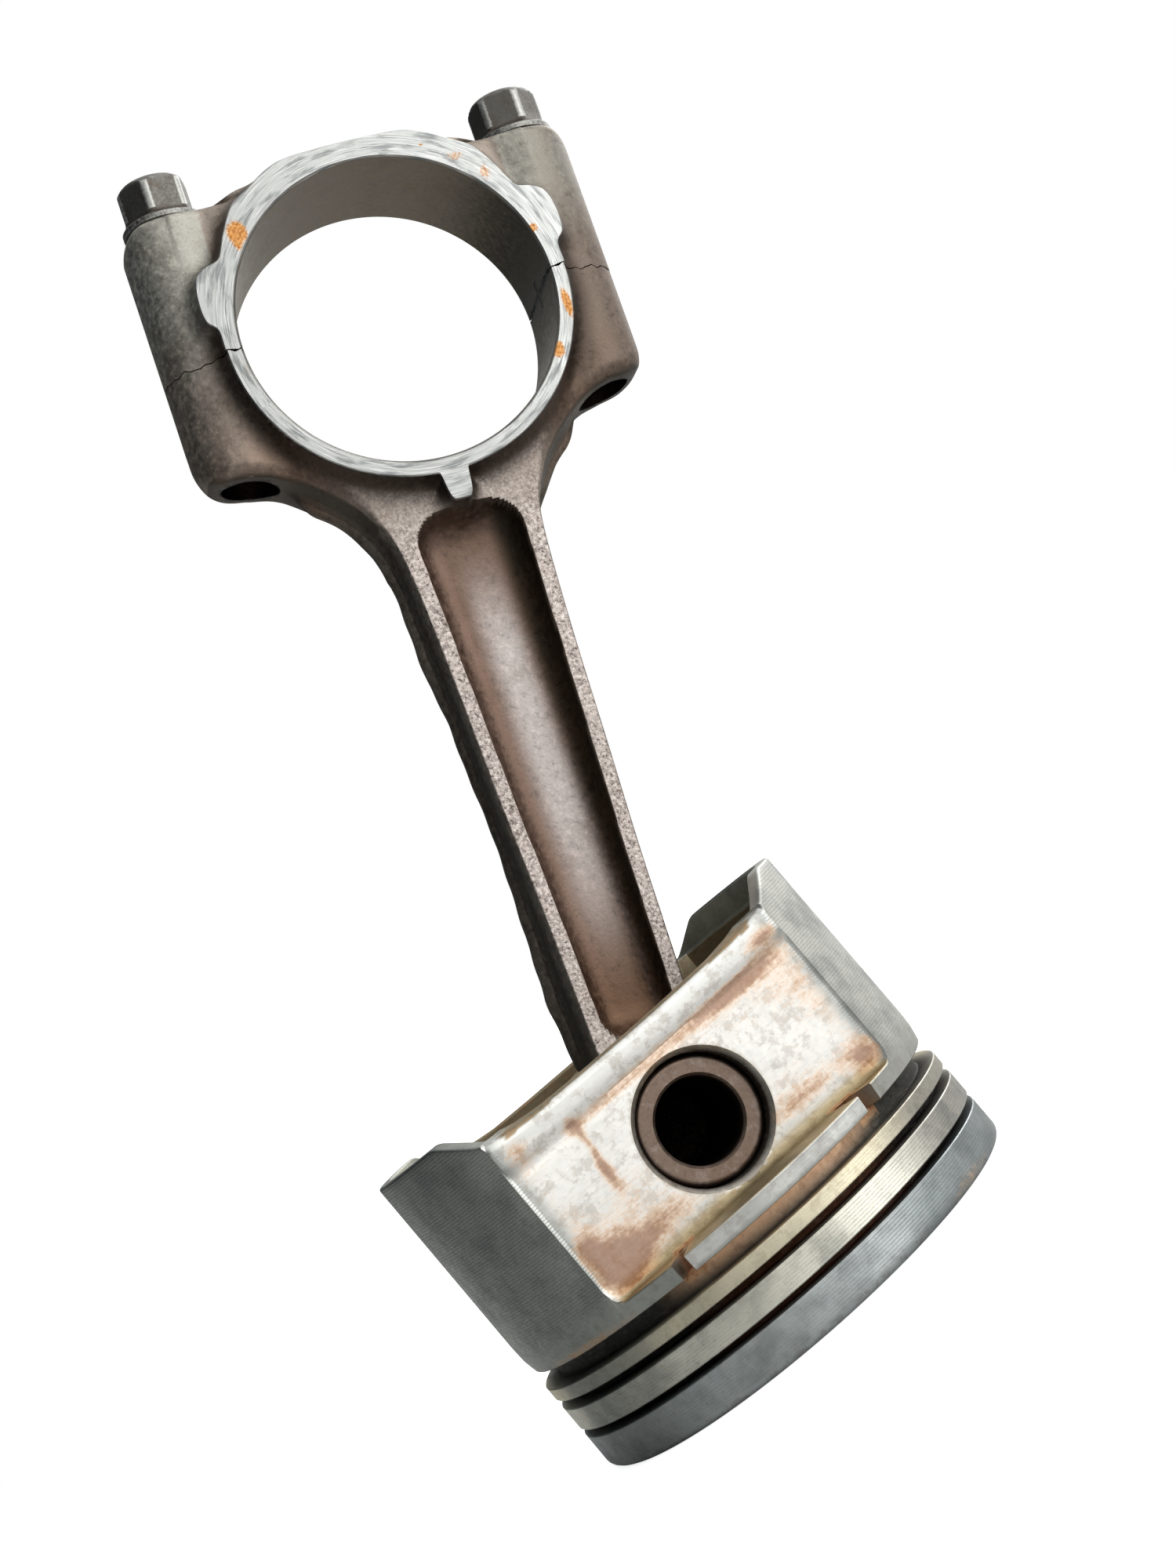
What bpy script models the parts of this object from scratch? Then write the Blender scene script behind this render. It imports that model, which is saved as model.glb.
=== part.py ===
"""Piston with its pin and split connecting rod.

The piston stands on its crown: z = 0 is the crown face, +Z runs from the crown to the
open skirt, Y is the pin's axis and X the thrust direction. The rod leans in the XZ plane.
"""
import math

import bmesh
import bpy
from mathutils import Matrix, Vector

MM = 0.001
GAP = 0.3                # clearance between two separate pieces, mm

# Piston, mm
BORE_R = 41.0            # skirt radius
LAND_RELIEF = 0.15       # the lands between the grooves are turned a little smaller
HEIGHT = 57.0            # crown face to the ends of the thrust skirts
PIN_Z = 34.0             # crown face to the pin's axis
CROWN_EDGE = 1.2         # bevel round the crown
GROOVE_DEPTH = 3.4
GROOVES = ((6.6, 7.9), (12.1, 13.7), (16.1, 19.1))
BELT_Z = 22.0            # end of the ring belt over the bosses
CROWN_T = 8.5            # thickness of the crown
BELT_WALL = 8.0          # wall behind the grooves
SKIRT_WALL = 3.9
RIM_WALL = 2.6           # wall left by the counterbore at the open end
MOUTH_DEPTH = 4.5
PANEL_Y = 29.4           # flat boss side, from the axis
PANEL_X = 27.9           # half width of the flat side
PANEL_WALL = 4.6
BEAD_Y = 30.0            # raised lip at the panel's open end
BEAD_Z = 46.8
BOSS_END_Z = 51.2        # open end of the panels
SLANT_X = 33.2           # where the end starts to slope up to the full skirt
BOSS_R = 15.6
BOSS_IN_Y = 13.0         # inner faces of the pin bosses
NOTCH_ANGLE = 26.5       # oil notches in the lower flank, degrees from the pin's plane
NOTCH_W = 2.4

# Pin, mm
PIN_R = 10.0
PIN_HOLE_R = 6.8
PIN_HALF = 26.6
PIN_CHAMFER = 0.6
PIN_WEB = 2.0            # solid web left at the middle of the pin
BORE_MOUTH_R = 11.1      # chamfered mouth of the boss bore

# Connecting rod, mm: s runs from the pin to the big end, t across it
ROD_LENGTH = 141.0
ROD_LEAN = 22.0          # degrees from the piston's axis
EYE_R = 14.6
EYE_HALF = 12.0
BIG_R = 26.5
BIG_HALF = 12.0
RING_R = 29.2            # machined face round the big bore
BEAM_HALF = 8.2          # half depth of the beam
WEB_HALF = 2.6
COLUMN_R = 8.3           # bolt columns
BOLT_T = 31.3            # bolt axes, from the rod's centre line
SHOULDER_S = 121.8       # lower ends of the columns
SEAT_S = 168.0           # bolt seats on the cap
CAP_TOP_S = 171.2

# Rod bolts, mm
BOLT_R = 4.4
BOLT_END_S = 125.0
FLANGE_R = 6.9
FLANGE_T = 1.6
HEX_FLATS = 11.0
HEAD_H = 8.6

# Sizes that follow from the ones above
LAND_R = BORE_R - LAND_RELIEF
MOUTH_R = BORE_R - RIM_WALL
PANEL_TOP = HEIGHT + 3.0

COLLECTION = "piston_assembly"

for old in list(bpy.data.objects):
    bpy.data.objects.remove(old, do_unlink=True)

parts = bpy.data.collections.new(COLLECTION)
cutters = bpy.data.collections.new("cutters")
bpy.context.scene.collection.children.link(parts)
bpy.context.scene.collection.children.link(cutters)


def material(name, colour, roughness, metallic):
    mat = bpy.data.materials.new(name)
    mat.use_nodes = True
    shader = mat.node_tree.nodes["Principled BSDF"]
    shader.inputs["Base Color"].default_value = (*colour, 1.0)
    shader.inputs["Roughness"].default_value = roughness
    shader.inputs["Metallic"].default_value = metallic
    return mat


def keep(obj, mat=None):
    """File a finished sub-part, or a helper when it has no material."""
    for group in list(obj.users_collection):
        group.objects.unlink(obj)
    if mat is None:
        cutters.objects.link(obj)
        obj.hide_render = True
        obj.display_type = "WIRE"
    else:
        parts.objects.link(obj)
        obj.data.materials.append(mat)
    return obj


def mesh_object(name, bm):
    bmesh.ops.recalc_face_normals(bm, faces=bm.faces)
    mesh = bpy.data.meshes.new(name)
    bm.to_mesh(mesh)
    bm.free()
    return bpy.data.objects.new(name, mesh)


def cylinder(name, radius, length, matrix, segments=64, top=None):
    """A closed cylinder or cone of the given length, centred, its axis along local Z."""
    bm = bmesh.new()
    bmesh.ops.create_cone(bm, cap_ends=True, segments=segments, radius1=radius * MM,
                          radius2=(radius if top is None else top) * MM, depth=length * MM)
    bm.transform(matrix)
    return mesh_object(name, bm)


def box(name, size, matrix):
    bm = bmesh.new()
    bmesh.ops.create_cube(bm, size=1.0)
    bm.transform(matrix @ Matrix.Diagonal((size[0] * MM, size[1] * MM, size[2] * MM, 1.0)))
    return mesh_object(name, bm)


def rounded(corners, steps=6):
    """Points of a closed outline whose corners (u, v, radius) are rounded by arcs."""
    points = []
    count = len(corners)
    for i, (u, v, radius) in enumerate(corners):
        here = Vector((u, v))
        if radius <= 0.0:
            points.append(here)
            continue
        before = (Vector(corners[i - 1][:2]) - here).normalized()
        after = (Vector(corners[(i + 1) % count][:2]) - here).normalized()
        half = before.angle(after) / 2
        centre = here + (before + after).normalized() * (radius / math.sin(half))
        start = here + before * (radius / math.tan(half)) - centre
        turn = start.angle_signed(here + after * (radius / math.tan(half)) - centre)
        for k in range(steps + 1):
            spin = Matrix.Rotation(-turn * k / steps, 2)
            points.append(centre + spin @ start)
    return points


def prism(name, points, half, to_xz=True):
    """A flat outline with thickness 2 * half, as a closed mesh."""
    curve = bpy.data.curves.new(name, "CURVE")
    curve.dimensions = "2D"
    curve.fill_mode = "BOTH"
    curve.extrude = half * MM
    spline = curve.splines.new("POLY")
    spline.points.add(len(points) - 1)
    for point, place in zip(spline.points, points):
        point.co = (place[0] * MM, place[1] * MM, 0.0, 1.0)
    spline.use_cyclic_u = True
    guide = bpy.data.objects.new(name + "_outline", curve)
    bpy.context.scene.collection.objects.link(guide)
    graph = bpy.context.evaluated_depsgraph_get()
    mesh = bpy.data.meshes.new_from_object(guide.evaluated_get(graph))
    bpy.data.objects.remove(guide, do_unlink=True)
    bm = bmesh.new()
    bm.from_mesh(mesh)
    bpy.data.meshes.remove(mesh)
    bmesh.ops.remove_doubles(bm, verts=bm.verts, dist=1e-6)
    bmesh.ops.dissolve_limit(bm, angle_limit=0.0005, verts=bm.verts, edges=bm.edges)
    if to_xz:
        bm.transform(Matrix.Rotation(math.pi / 2, 4, "X"))
    return mesh_object(name, bm)


def boolean(obj, other, operation="DIFFERENCE"):
    mod = obj.modifiers.new(operation.lower() + "_" + other.name, "BOOLEAN")
    mod.operation = operation
    mod.solver = "EXACT"
    mod.object = other


def cut(obj, *others):
    for other in others:
        boolean(obj, keep(other))


def join(obj, *others):
    for other in others:
        boolean(obj, keep(other), "UNION")


def at(x, y, z):
    return Matrix.Translation((x * MM, y * MM, z * MM))


def along_y(x, y, z):
    """Place a part whose local Z is to run along Y."""
    return at(x, y, z) @ Matrix.Rotation(-math.pi / 2, 4, "X")


def smooth(obj):
    obj.data.shade_smooth()
    obj.data.set_sharp_from_angle(angle=math.radians(32))


aluminium = material("cast_aluminium", (0.52, 0.53, 0.52), 0.42, 1.0)
pin_steel = material("ground_pin_steel", (0.20, 0.17, 0.15), 0.35, 1.0)
forged = material("forged_steel", (0.12, 0.10, 0.085), 0.55, 0.9)
cap_steel = material("forged_cap_steel", (0.12, 0.10, 0.085), 0.55, 0.9)
bolt_steel = material("bolt_steel", (0.11, 0.11, 0.11), 0.42, 1.0)


# ---------------------------------------------------------------- piston
def piston_profile():
    """Outer side from the open end down to the crown, as (radius, z)."""
    points = [(0.0, HEIGHT), (BORE_R - 0.5, HEIGHT), (BORE_R, HEIGHT - 0.5)]
    last_flank = GROOVES[-1][1]
    points += [(BORE_R, BELT_Z + 1.5), (LAND_R, BELT_Z), (LAND_R - 0.2, last_flank)]
    for low, high in reversed(GROOVES):
        root = LAND_R - GROOVE_DEPTH
        if high != last_flank:
            points.append((LAND_R, high))
        points += [(root, high), (root, low), (LAND_R, low)]
    points += [(LAND_R, CROWN_EDGE), (LAND_R - 0.35 * CROWN_EDGE, 0.35 * CROWN_EDGE),
               (LAND_R - CROWN_EDGE, 0.0), (0.0, 0.0)]
    return points


bm = bmesh.new()
rim = [bm.verts.new((r * MM, 0.0, z * MM)) for r, z in piston_profile()]
for a, b in zip(rim, rim[1:]):
    bm.edges.new((a, b))
mesh = bpy.data.meshes.new("piston")
bm.to_mesh(mesh)
bm.free()
piston = keep(bpy.data.objects.new("piston", mesh), aluminium)
turn = piston.modifiers.new("turned", "SCREW")
turn.axis = "Z"
turn.steps = 96
turn.render_steps = 96
turn.use_merge_vertices = True
turn.merge_threshold = 0.00001
turn.use_smooth_shade = True


def boss_block(name, side):
    """A pin boss with its pillar to the crown, which the hollow leaves standing."""
    outline = [(-13.5, CROWN_T - 3.0)]
    outline.append((-BOSS_R, PIN_Z - 6.0))
    for k in range(25):
        angle = math.pi + math.radians(8) - (math.pi + math.radians(16)) * k / 24
        outline.append((BOSS_R * math.cos(angle), PIN_Z + BOSS_R * math.sin(angle)))
    outline += [(BOSS_R, PIN_Z - 6.0), (13.5, CROWN_T - 3.0)]
    block = prism(name, outline, 10.0)
    block.data.transform(at(0.0, side * (BOSS_IN_Y + 10.0), 0.0))
    return block


def hollow(name, radius, flat, z_low, z_high):
    """A round hollow of the casting, flattened behind the panels at y = +-flat."""
    reach = math.sqrt(radius ** 2 - flat ** 2)
    start = math.atan2(flat, reach)
    outline = []
    for side in (0.0, math.pi):
        for k in range(17):
            angle = side - start + 2 * start * k / 16
            outline.append((radius * math.cos(angle), radius * math.sin(angle)))
    body = prism(name, outline, (z_high - z_low) / 2, to_xz=False)
    body.data.transform(at(0.0, 0.0, (z_low + z_high) / 2))
    return body


inside = hollow("skirt_hollow", BORE_R - SKIRT_WALL, PANEL_Y - PANEL_WALL, BELT_Z + 2.0, PANEL_TOP)
join(inside, hollow("belt_hollow", LAND_R - BELT_WALL, PANEL_Y - PANEL_WALL - 1.2,
                    CROWN_T, BELT_Z + 4.0))
for tag, side in (("near", -1), ("far", 1)):
    cut(inside, boss_block("boss_" + tag, side))
cut(piston, inside)
cut(piston, cylinder("mouth", MOUTH_R, MOUTH_DEPTH + 5.0,
                     at(0.0, 0.0, HEIGHT + 2.5 - MOUTH_DEPTH / 2), segments=96))

end_cut = [(-SLANT_X, PANEL_TOP, 0), (-SLANT_X, HEIGHT - 0.4, 0),
           (-PANEL_X - 0.6, BOSS_END_Z + 1.6, 4), (-20.0, BOSS_END_Z + 0.3, 0),
           (0.0, BOSS_END_Z, 0), (20.0, BOSS_END_Z + 0.3, 0),
           (PANEL_X + 0.6, BOSS_END_Z + 1.6, 4), (SLANT_X, HEIGHT - 0.4, 0),
           (SLANT_X, PANEL_TOP, 0)]
cut(piston, prism("end_cut", rounded(end_cut), 50.0))

for tag, side in (("near", -1), ("far", 1)):
    panel = [(-PANEL_X, BELT_Z, 2.6), (PANEL_X, BELT_Z, 2.6),
             (PANEL_X, BEAD_Z, 0), (-PANEL_X, BEAD_Z, 0)]
    slab = prism("panel_" + tag, rounded(panel), 8.0)
    slab.data.transform(at(0.0, side * (PANEL_Y + 8.0), 0.0))
    lip = box("lip_" + tag, (2 * PANEL_X + 1.0, 16.0, PANEL_TOP - BEAD_Z + 1.0),
              at(0.0, side * (BEAD_Y + 8.0), (PANEL_TOP + BEAD_Z - 1.0) / 2))
    cut(piston, slab, lip)
    mouth = cylinder("bore_mouth_" + tag, BORE_MOUTH_R - 1.2, 1.6,
                     along_y(0.0, side * (PANEL_Y - 0.4), PIN_Z)
                     @ Matrix.Rotation(math.pi * (side < 0), 4, "X"),
                     segments=72, top=BORE_MOUTH_R + 0.4)
    cut(piston, mouth)
    for number, turn_sign in enumerate((-1, 1)):
        spin = Matrix.Rotation(math.radians(turn_sign * NOTCH_ANGLE), 4, "Z")
        notch = box("notch_%s_%d" % (tag, number), (NOTCH_W, 8.0, 4.4),
                    spin @ at(0.0, side * (LAND_R - 3.0), BELT_Z - 1.4))
        cut(piston, notch)
cut(piston, cylinder("pin_bore", PIN_R + GAP, 80.0, along_y(0.0, 0.0, PIN_Z), segments=72))

# ---------------------------------------------------------------- what swings on the pin
swing = bpy.data.objects.new("swing_axis", None)
bpy.context.scene.collection.objects.link(swing)
swing.location = (0.0, 0.0, PIN_Z * MM)
swing.rotation_euler = (0.0, math.radians(ROD_LEAN), 0.0)


def hang(obj, mat):
    """Give a piece drawn in the rod's own frame to the swinging axis."""
    keep(obj, mat)
    obj.parent = swing
    smooth(obj)
    return obj


def hang_helpers(obj):
    """Helpers of a swinging piece swing with it."""
    for mod in obj.modifiers:
        if mod.type == "BOOLEAN" and mod.object.parent is None:
            mod.object.parent = swing
            hang_helpers(mod.object)


# ---------------------------------------------------------------- pin
pin = cylinder("piston_pin", PIN_R, 2 * PIN_HALF, along_y(0, 0, 0), segments=72)
edge = pin.modifiers.new("edge", "BEVEL")
edge.width = PIN_CHAMFER * MM
edge.segments = 1
edge.limit_method = "ANGLE"
edge.angle_limit = math.radians(40)
hang(pin, pin_steel)
hole_depth = PIN_HALF - PIN_WEB / 2
for tag, side in (("near", -1), ("far", 1)):
    cut(pin, cylinder("pin_hole_" + tag, PIN_HOLE_R, hole_depth + 3.0,
                      along_y(0, side * (PIN_WEB + hole_depth + 3.0) / 2, 0), segments=72))
hang_helpers(pin)


# ---------------------------------------------------------------- rod
def beam_side():
    """Right-hand edge of beam, flare and shoulder, as (t, s, corner radius)."""
    return [(8.9, 0.0, 0), (9.2, 18.0, 0), (9.75, 40.0, 0), (10.45, 60.0, 0), (11.0, 80.0, 0),
            (11.9, 98.0, 0), (12.4, 105.5, 8.0), (20.5, 118.5, 9.0), (27.0, SHOULDER_S - 0.3, 4.0),
            (BOLT_T + COLUMN_R - 4.0, SHOULDER_S + 0.3, 0), (BOLT_T, ROD_LENGTH + 3.0, 0)]


def mirrored(side):
    """Close a right-hand edge with its mirror image."""
    return side + [(-t, s, r) for t, s, r in reversed(side)]


def ring_face(bore_centre_s):
    """Outline of the machined face below the parting line, with its small pip."""
    low = [(RING_R, bore_centre_s + 3.0, 0)]
    for k in range(15):
        angle = math.radians(0.0 + 83.0 * k / 14)
        low.append((RING_R * math.cos(angle), bore_centre_s - RING_R * math.sin(angle), 0))
    low += [(2.3, bore_centre_s - RING_R - 1.4, 1.0), (2.0, bore_centre_s - RING_R - 5.0, 1.9)]
    return low


rod = prism("connecting_rod", rounded(mirrored(beam_side())), BEAM_HALF)
join(rod, prism("ring_block", rounded(mirrored(ring_face(ROD_LENGTH)), steps=5), BIG_HALF))
join(rod, cylinder("eye", EYE_R, 2 * EYE_HALF, along_y(0, 0, 0)))
for tag, side in (("left", -1), ("right", 1)):
    column = cylinder("column_" + tag, COLUMN_R, ROD_LENGTH + 3.4 - SHOULDER_S,
                      at(side * BOLT_T, 0.0, (ROD_LENGTH + 2.6 + SHOULDER_S) / 2), segments=48)
    soft = column.modifiers.new("soft", "BEVEL")
    soft.width = 2.0 * MM
    soft.segments = 2
    soft.limit_method = "ANGLE"
    soft.angle_limit = math.radians(40)
    join(rod, column)

recess = [(6.0, 15.2, 3.5), (6.75, 40.0, 0), (7.4, 60.0, 0), (8.0, 80.0, 0), (8.9, 106.6, 3.6)]
for tag, side in (("near", -1), ("far", 1)):
    pocket = prism("recess_" + tag, rounded(mirrored(recess)), 5.0)
    pocket.data.transform(at(0.0, side * (WEB_HALF + 5.0), 0.0))
    cut(rod, pocket)
cut(rod, box("rod_parting", (120.0, 60.0, 40.0), at(0.0, 0.0, ROD_LENGTH - GAP / 2 + 20.0)))
cut(rod, cylinder("rod_big_bore", BIG_R, 60.0, along_y(0.0, 0.0, ROD_LENGTH), segments=96))
cut(rod, cylinder("rod_pin_bore", PIN_R + GAP, 60.0, along_y(0, 0, 0), segments=72))
for tag, side in (("left", -1), ("right", 1)):
    cut(rod, cylinder("rod_bolt_hole_" + tag, BOLT_R + GAP, 50.0,
                      at(side * BOLT_T, 0.0, ROD_LENGTH), segments=32))
hang(rod, forged)
hang_helpers(rod)

# ---------------------------------------------------------------- cap
arch = [(RING_R + 0.2, ROD_LENGTH - 3.0, 0), (RING_R + 0.2, ROD_LENGTH + 2.5, 2.0),
        (RING_R + 1.7, ROD_LENGTH + 5.5, 3.0), (RING_R + 1.9, ROD_LENGTH + 12.5, 2.6),
        (RING_R - 2.7, ROD_LENGTH + 15.2, 3.0), (23.6, ROD_LENGTH + 20.6, 4.0),
        (17.4, ROD_LENGTH + 26.4, 5.0), (10.5, CAP_TOP_S - 0.6, 4.0), (6.0, CAP_TOP_S, 0)]
cap = prism("rod_cap", rounded(mirrored(arch)), BIG_HALF)
web = [(BOLT_T, ROD_LENGTH - 3.0, 0), (BOLT_T, SEAT_S, 0), (16.0, SEAT_S, 0), (10.0, SEAT_S - 6.0, 0)]
join(cap, prism("cap_web", rounded(mirrored(web)), COLUMN_R - 0.3))
for tag, side in (("left", -1), ("right", 1)):
    column = cylinder("cap_column_" + tag, COLUMN_R, SEAT_S - ROD_LENGTH + 3.0,
                      at(side * BOLT_T, 0.0, (SEAT_S + ROD_LENGTH - 3.0) / 2), segments=48)
    soft = column.modifiers.new("soft", "BEVEL")
    soft.width = 1.2 * MM
    soft.segments = 2
    soft.limit_method = "ANGLE"
    soft.angle_limit = math.radians(40)
    join(cap, column)
cut(cap, box("cap_parting", (120.0, 60.0, 40.0), at(0.0, 0.0, ROD_LENGTH + GAP / 2 - 20.0)))
cut(cap, cylinder("cap_big_bore", BIG_R, 60.0, along_y(0.0, 0.0, ROD_LENGTH), segments=96))
for tag, side in (("left", -1), ("right", 1)):
    cut(cap, cylinder("cap_bolt_hole_" + tag, BOLT_R + GAP, 70.0,
                      at(side * BOLT_T, 0.0, ROD_LENGTH + 10.0), segments=32))
hang(cap, cap_steel)
hang_helpers(cap)

# ---------------------------------------------------------------- bolts
for tag, side in (("left", -1), ("right", 1)):
    seat = SEAT_S + GAP
    bolt = cylinder("rod_bolt_" + tag, BOLT_R, seat + 1.0 - BOLT_END_S,
                    at(side * BOLT_T, 0.0, (seat + 1.0 + BOLT_END_S) / 2), segments=32)
    join(bolt, cylinder("bolt_flange_" + tag, FLANGE_R, FLANGE_T,
                        at(side * BOLT_T, 0.0, seat + FLANGE_T / 2), segments=48,
                        top=FLANGE_R - 0.5))
    corner_r = HEX_FLATS / math.sqrt(3)
    head = cylinder("bolt_hex_" + tag, corner_r, HEAD_H - 0.8,
                    at(side * BOLT_T, 0.0, seat + 0.8 + (HEAD_H - 0.8) / 2)
                    @ Matrix.Rotation(math.radians(14 * side), 4, "Z"), segments=6)
    crown = head.modifiers.new("crown", "BEVEL")
    crown.width = 0.9 * MM
    crown.segments = 2
    crown.limit_method = "ANGLE"
    crown.angle_limit = math.radians(70)
    join(bolt, head)
    hang(bolt, bolt_steel)
    hang_helpers(bolt)
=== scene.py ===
import math

import bmesh
import bpy
import numpy as np
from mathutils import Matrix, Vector


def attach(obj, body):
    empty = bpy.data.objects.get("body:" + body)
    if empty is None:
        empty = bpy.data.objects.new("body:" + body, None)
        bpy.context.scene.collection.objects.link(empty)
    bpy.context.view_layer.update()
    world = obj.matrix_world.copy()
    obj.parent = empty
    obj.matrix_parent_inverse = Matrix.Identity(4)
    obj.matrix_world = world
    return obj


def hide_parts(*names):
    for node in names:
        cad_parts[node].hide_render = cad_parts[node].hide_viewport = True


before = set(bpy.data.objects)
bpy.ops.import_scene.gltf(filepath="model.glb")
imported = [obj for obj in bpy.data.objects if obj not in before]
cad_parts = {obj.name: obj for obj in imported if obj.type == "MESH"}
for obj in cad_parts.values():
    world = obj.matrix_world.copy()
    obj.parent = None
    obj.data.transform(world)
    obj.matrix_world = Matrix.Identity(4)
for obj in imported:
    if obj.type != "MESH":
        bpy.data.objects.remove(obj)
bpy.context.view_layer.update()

MM = 0.001

# ---------------------------------------------------------------- piston
# Cast in aluminium and turned outside: crown, three ring grooves and the two thrust skirts. The
# sides over the pin are left flat and set back, with a rolled lip at the open end, and the inside
# keeps its cast skin with two bosses that reach up to the crown.
BORE_R = 41.0
LAND_R = 40.85
CROWN_EDGE = 1.5
GROOVES = ((6.6, 7.9), (12.1, 13.7), (16.1, 19.1))
GROOVE_ROOT, GROOVE_FILLET = 37.45, 0.25
EDGE_BREAK = 0.15
LAND_STEP = 0.45
PIN_Z = 34.0
FLAT_Y, FLAT_X, FLAT_TURN = 29.4, 27.9, 43.5
LIP_Y, LIP_Z = 30.0, 46.2
LEDGE_Z, LEDGE_CORNER, LEDGE_FILLET = 22.0, 2.6, 1.8
OIL_NOTCHES = ((-26.2, 1.6), (29.6, 2.5))
NOTCH_ROOT = 34.2
END_X = (0.0, 10.0, 20.0, 25.0, 27.5, 28.7, 30.0, 33.2, 33.9)
END_Z = (51.2, 51.28, 51.5, 52.0, 52.45, 53.0, 54.0, 56.7, 57.0)
PANEL_ROUND, RIM_ROUND = 1.4, 0.5
SKIRT_IN_R, FLAT_IN_Y, SKIRT_IN_Z = 37.1, 24.8, 27.0
MOUTH_R, MOUTH_Z = 38.4, 52.5
BELT_IN_R, BELT_IN_Y, BELT_TAPER = 32.85, 23.6, 4.0
CROWN_T, CROWN_FILLET = 8.5, 4.0
BOSS_R, BOSS_IN_Y = 15.6, 13.0
PIN_BORE_R, BORE_MOUTH_R = 10.3, 11.1
TURNED_FEED = 0.5


def ease(value, low, high):
    """S-curve: 0 below low, 1 above high and 3q^2 - 2q^3 between, q being the share of the way."""
    q = np.clip((value - low) / (high - low), 0.0, 1.0)
    return q * q * (3.0 - 2.0 * q)


def quads(index):
    """Corners of every cell of a grid of vertex numbers, as rows of four."""
    return np.stack([index[:-1, :-1], index[:-1, 1:], index[1:, 1:], index[1:, :-1]], -1).reshape(-1, 4)


def solid(name, points, faces):
    """A closed mesh from points in mm and faces, its normals turned outwards."""
    mesh = bpy.data.meshes.new(name)
    mesh.from_pydata((points.reshape(-1, 3) * MM).tolist(), [], faces)
    bm = bmesh.new()
    bm.from_mesh(mesh)
    bmesh.ops.recalc_face_normals(bm, faces=bm.faces)
    bm.to_mesh(mesh)
    bm.free()
    obj = bpy.data.objects.new(name, mesh)
    bpy.context.scene.collection.objects.link(obj)
    return obj


def turned(name, points):
    """Skin rows of points that go round an axis; the first and last rows are poles on it."""
    rows, columns = points.shape[:2]
    ring = 1 + np.arange((rows - 2) * columns).reshape(rows - 2, columns)
    last = 1 + ring.size
    ring = np.hstack([ring, ring[:, :1]])
    caps = [[0, b, a] for a, b in zip(ring[0, :-1].tolist(), ring[0, 1:].tolist())]
    caps += [[last, a, b] for a, b in zip(ring[-1, :-1].tolist(), ring[-1, 1:].tolist())]
    places = np.vstack([points[:1, 0], points[1:-1].reshape(-1, 3), points[-1:, 0]])
    return solid(name, places, quads(ring).tolist() + caps)


def loop_round(name, points):
    """Skin a closed profile (rows) carried part of the way round an axis (columns), with flat ends."""
    rows, columns = points.shape[:2]
    index = np.arange(rows * columns).reshape(rows, columns)
    ends = [index[:, 0].tolist(), index[::-1, -1].tolist()]
    return solid(name, points, quads(np.vstack([index, index[:1]])).tolist() + ends)


def along_y(name, radius_y, segments=96):
    """A bar turned round the pin's axis from (radius, y) pairs, closed on that axis."""
    angle = np.linspace(0.0, 2.0 * np.pi, segments, endpoint=False)
    r, y = (np.array(v, float)[:, None] for v in zip(*radius_y))
    return turned(name, np.stack([r * np.cos(angle), y + 0.0 * angle, PIN_Z + r * np.sin(angle)], -1))


def machine(obj, add=(), take=()):
    """Fuse some solids to a piece, cut others from it, and keep only the finished mesh."""
    for tool, operation in [(t, "UNION") for t in add] + [(t, "DIFFERENCE") for t in take]:
        step = obj.modifiers.new(tool.name, "BOOLEAN")
        step.operation = operation
        step.solver = "MANIFOLD"
        step.object = tool
    graph = bpy.context.evaluated_depsgraph_get()
    obj.data = bpy.data.meshes.new_from_object(obj.evaluated_get(graph))
    obj.data.materials.clear()
    obj.modifiers.clear()
    for tool in (*add, *take):
        bpy.data.objects.remove(tool, do_unlink=True)


def places(obj):
    """Every vertex of a piece as x, y, z in mm."""
    flat = np.empty(len(obj.data.vertices) * 3)
    obj.data.vertices.foreach_get("co", flat)
    return (flat.reshape(-1, 3) / MM).T


def srgb(*values):
    """Linear colour of a swatch given on the 0 to 255 scale."""
    v = np.array(values, float) / 255.0
    return np.where(v <= 0.04045, v / 12.92, ((v + 0.055) / 1.055) ** 2.4)


def lay(base, colour, amount):
    """Cover a colour with another by a share from 0 to 1, or where a mask is true."""
    return base + (srgb(*colour) - base) * np.clip(1.0 * amount, 0.0, 1.0)[:, None]


def paint(obj, tone, marks):
    """Store a colour and three marks (stain, lines or speckle, roughness) at every vertex."""
    for name, values in (("tone", tone), ("marks", np.stack(marks, -1))):
        layer = obj.data.color_attributes.new(name, "FLOAT_COLOR", "POINT")
        layer.data.foreach_set("color", np.hstack([values, np.ones((len(values), 1))]).ravel())


def spot(u, v, u0, v0, su, sv):
    """Bell-shaped patch of height 1 at (u0, v0), with spreads su and sv."""
    return np.exp(-0.5 * (((u - u0) / su) ** 2 + ((v - v0) / sv) ** 2))


def dabbed(u, v, dabs):
    """Sum of bell-shaped patches, each given as its strength, its place and its two spreads."""
    return sum(strength * spot(u, v, *dab) for strength, *dab in dabs)


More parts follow.
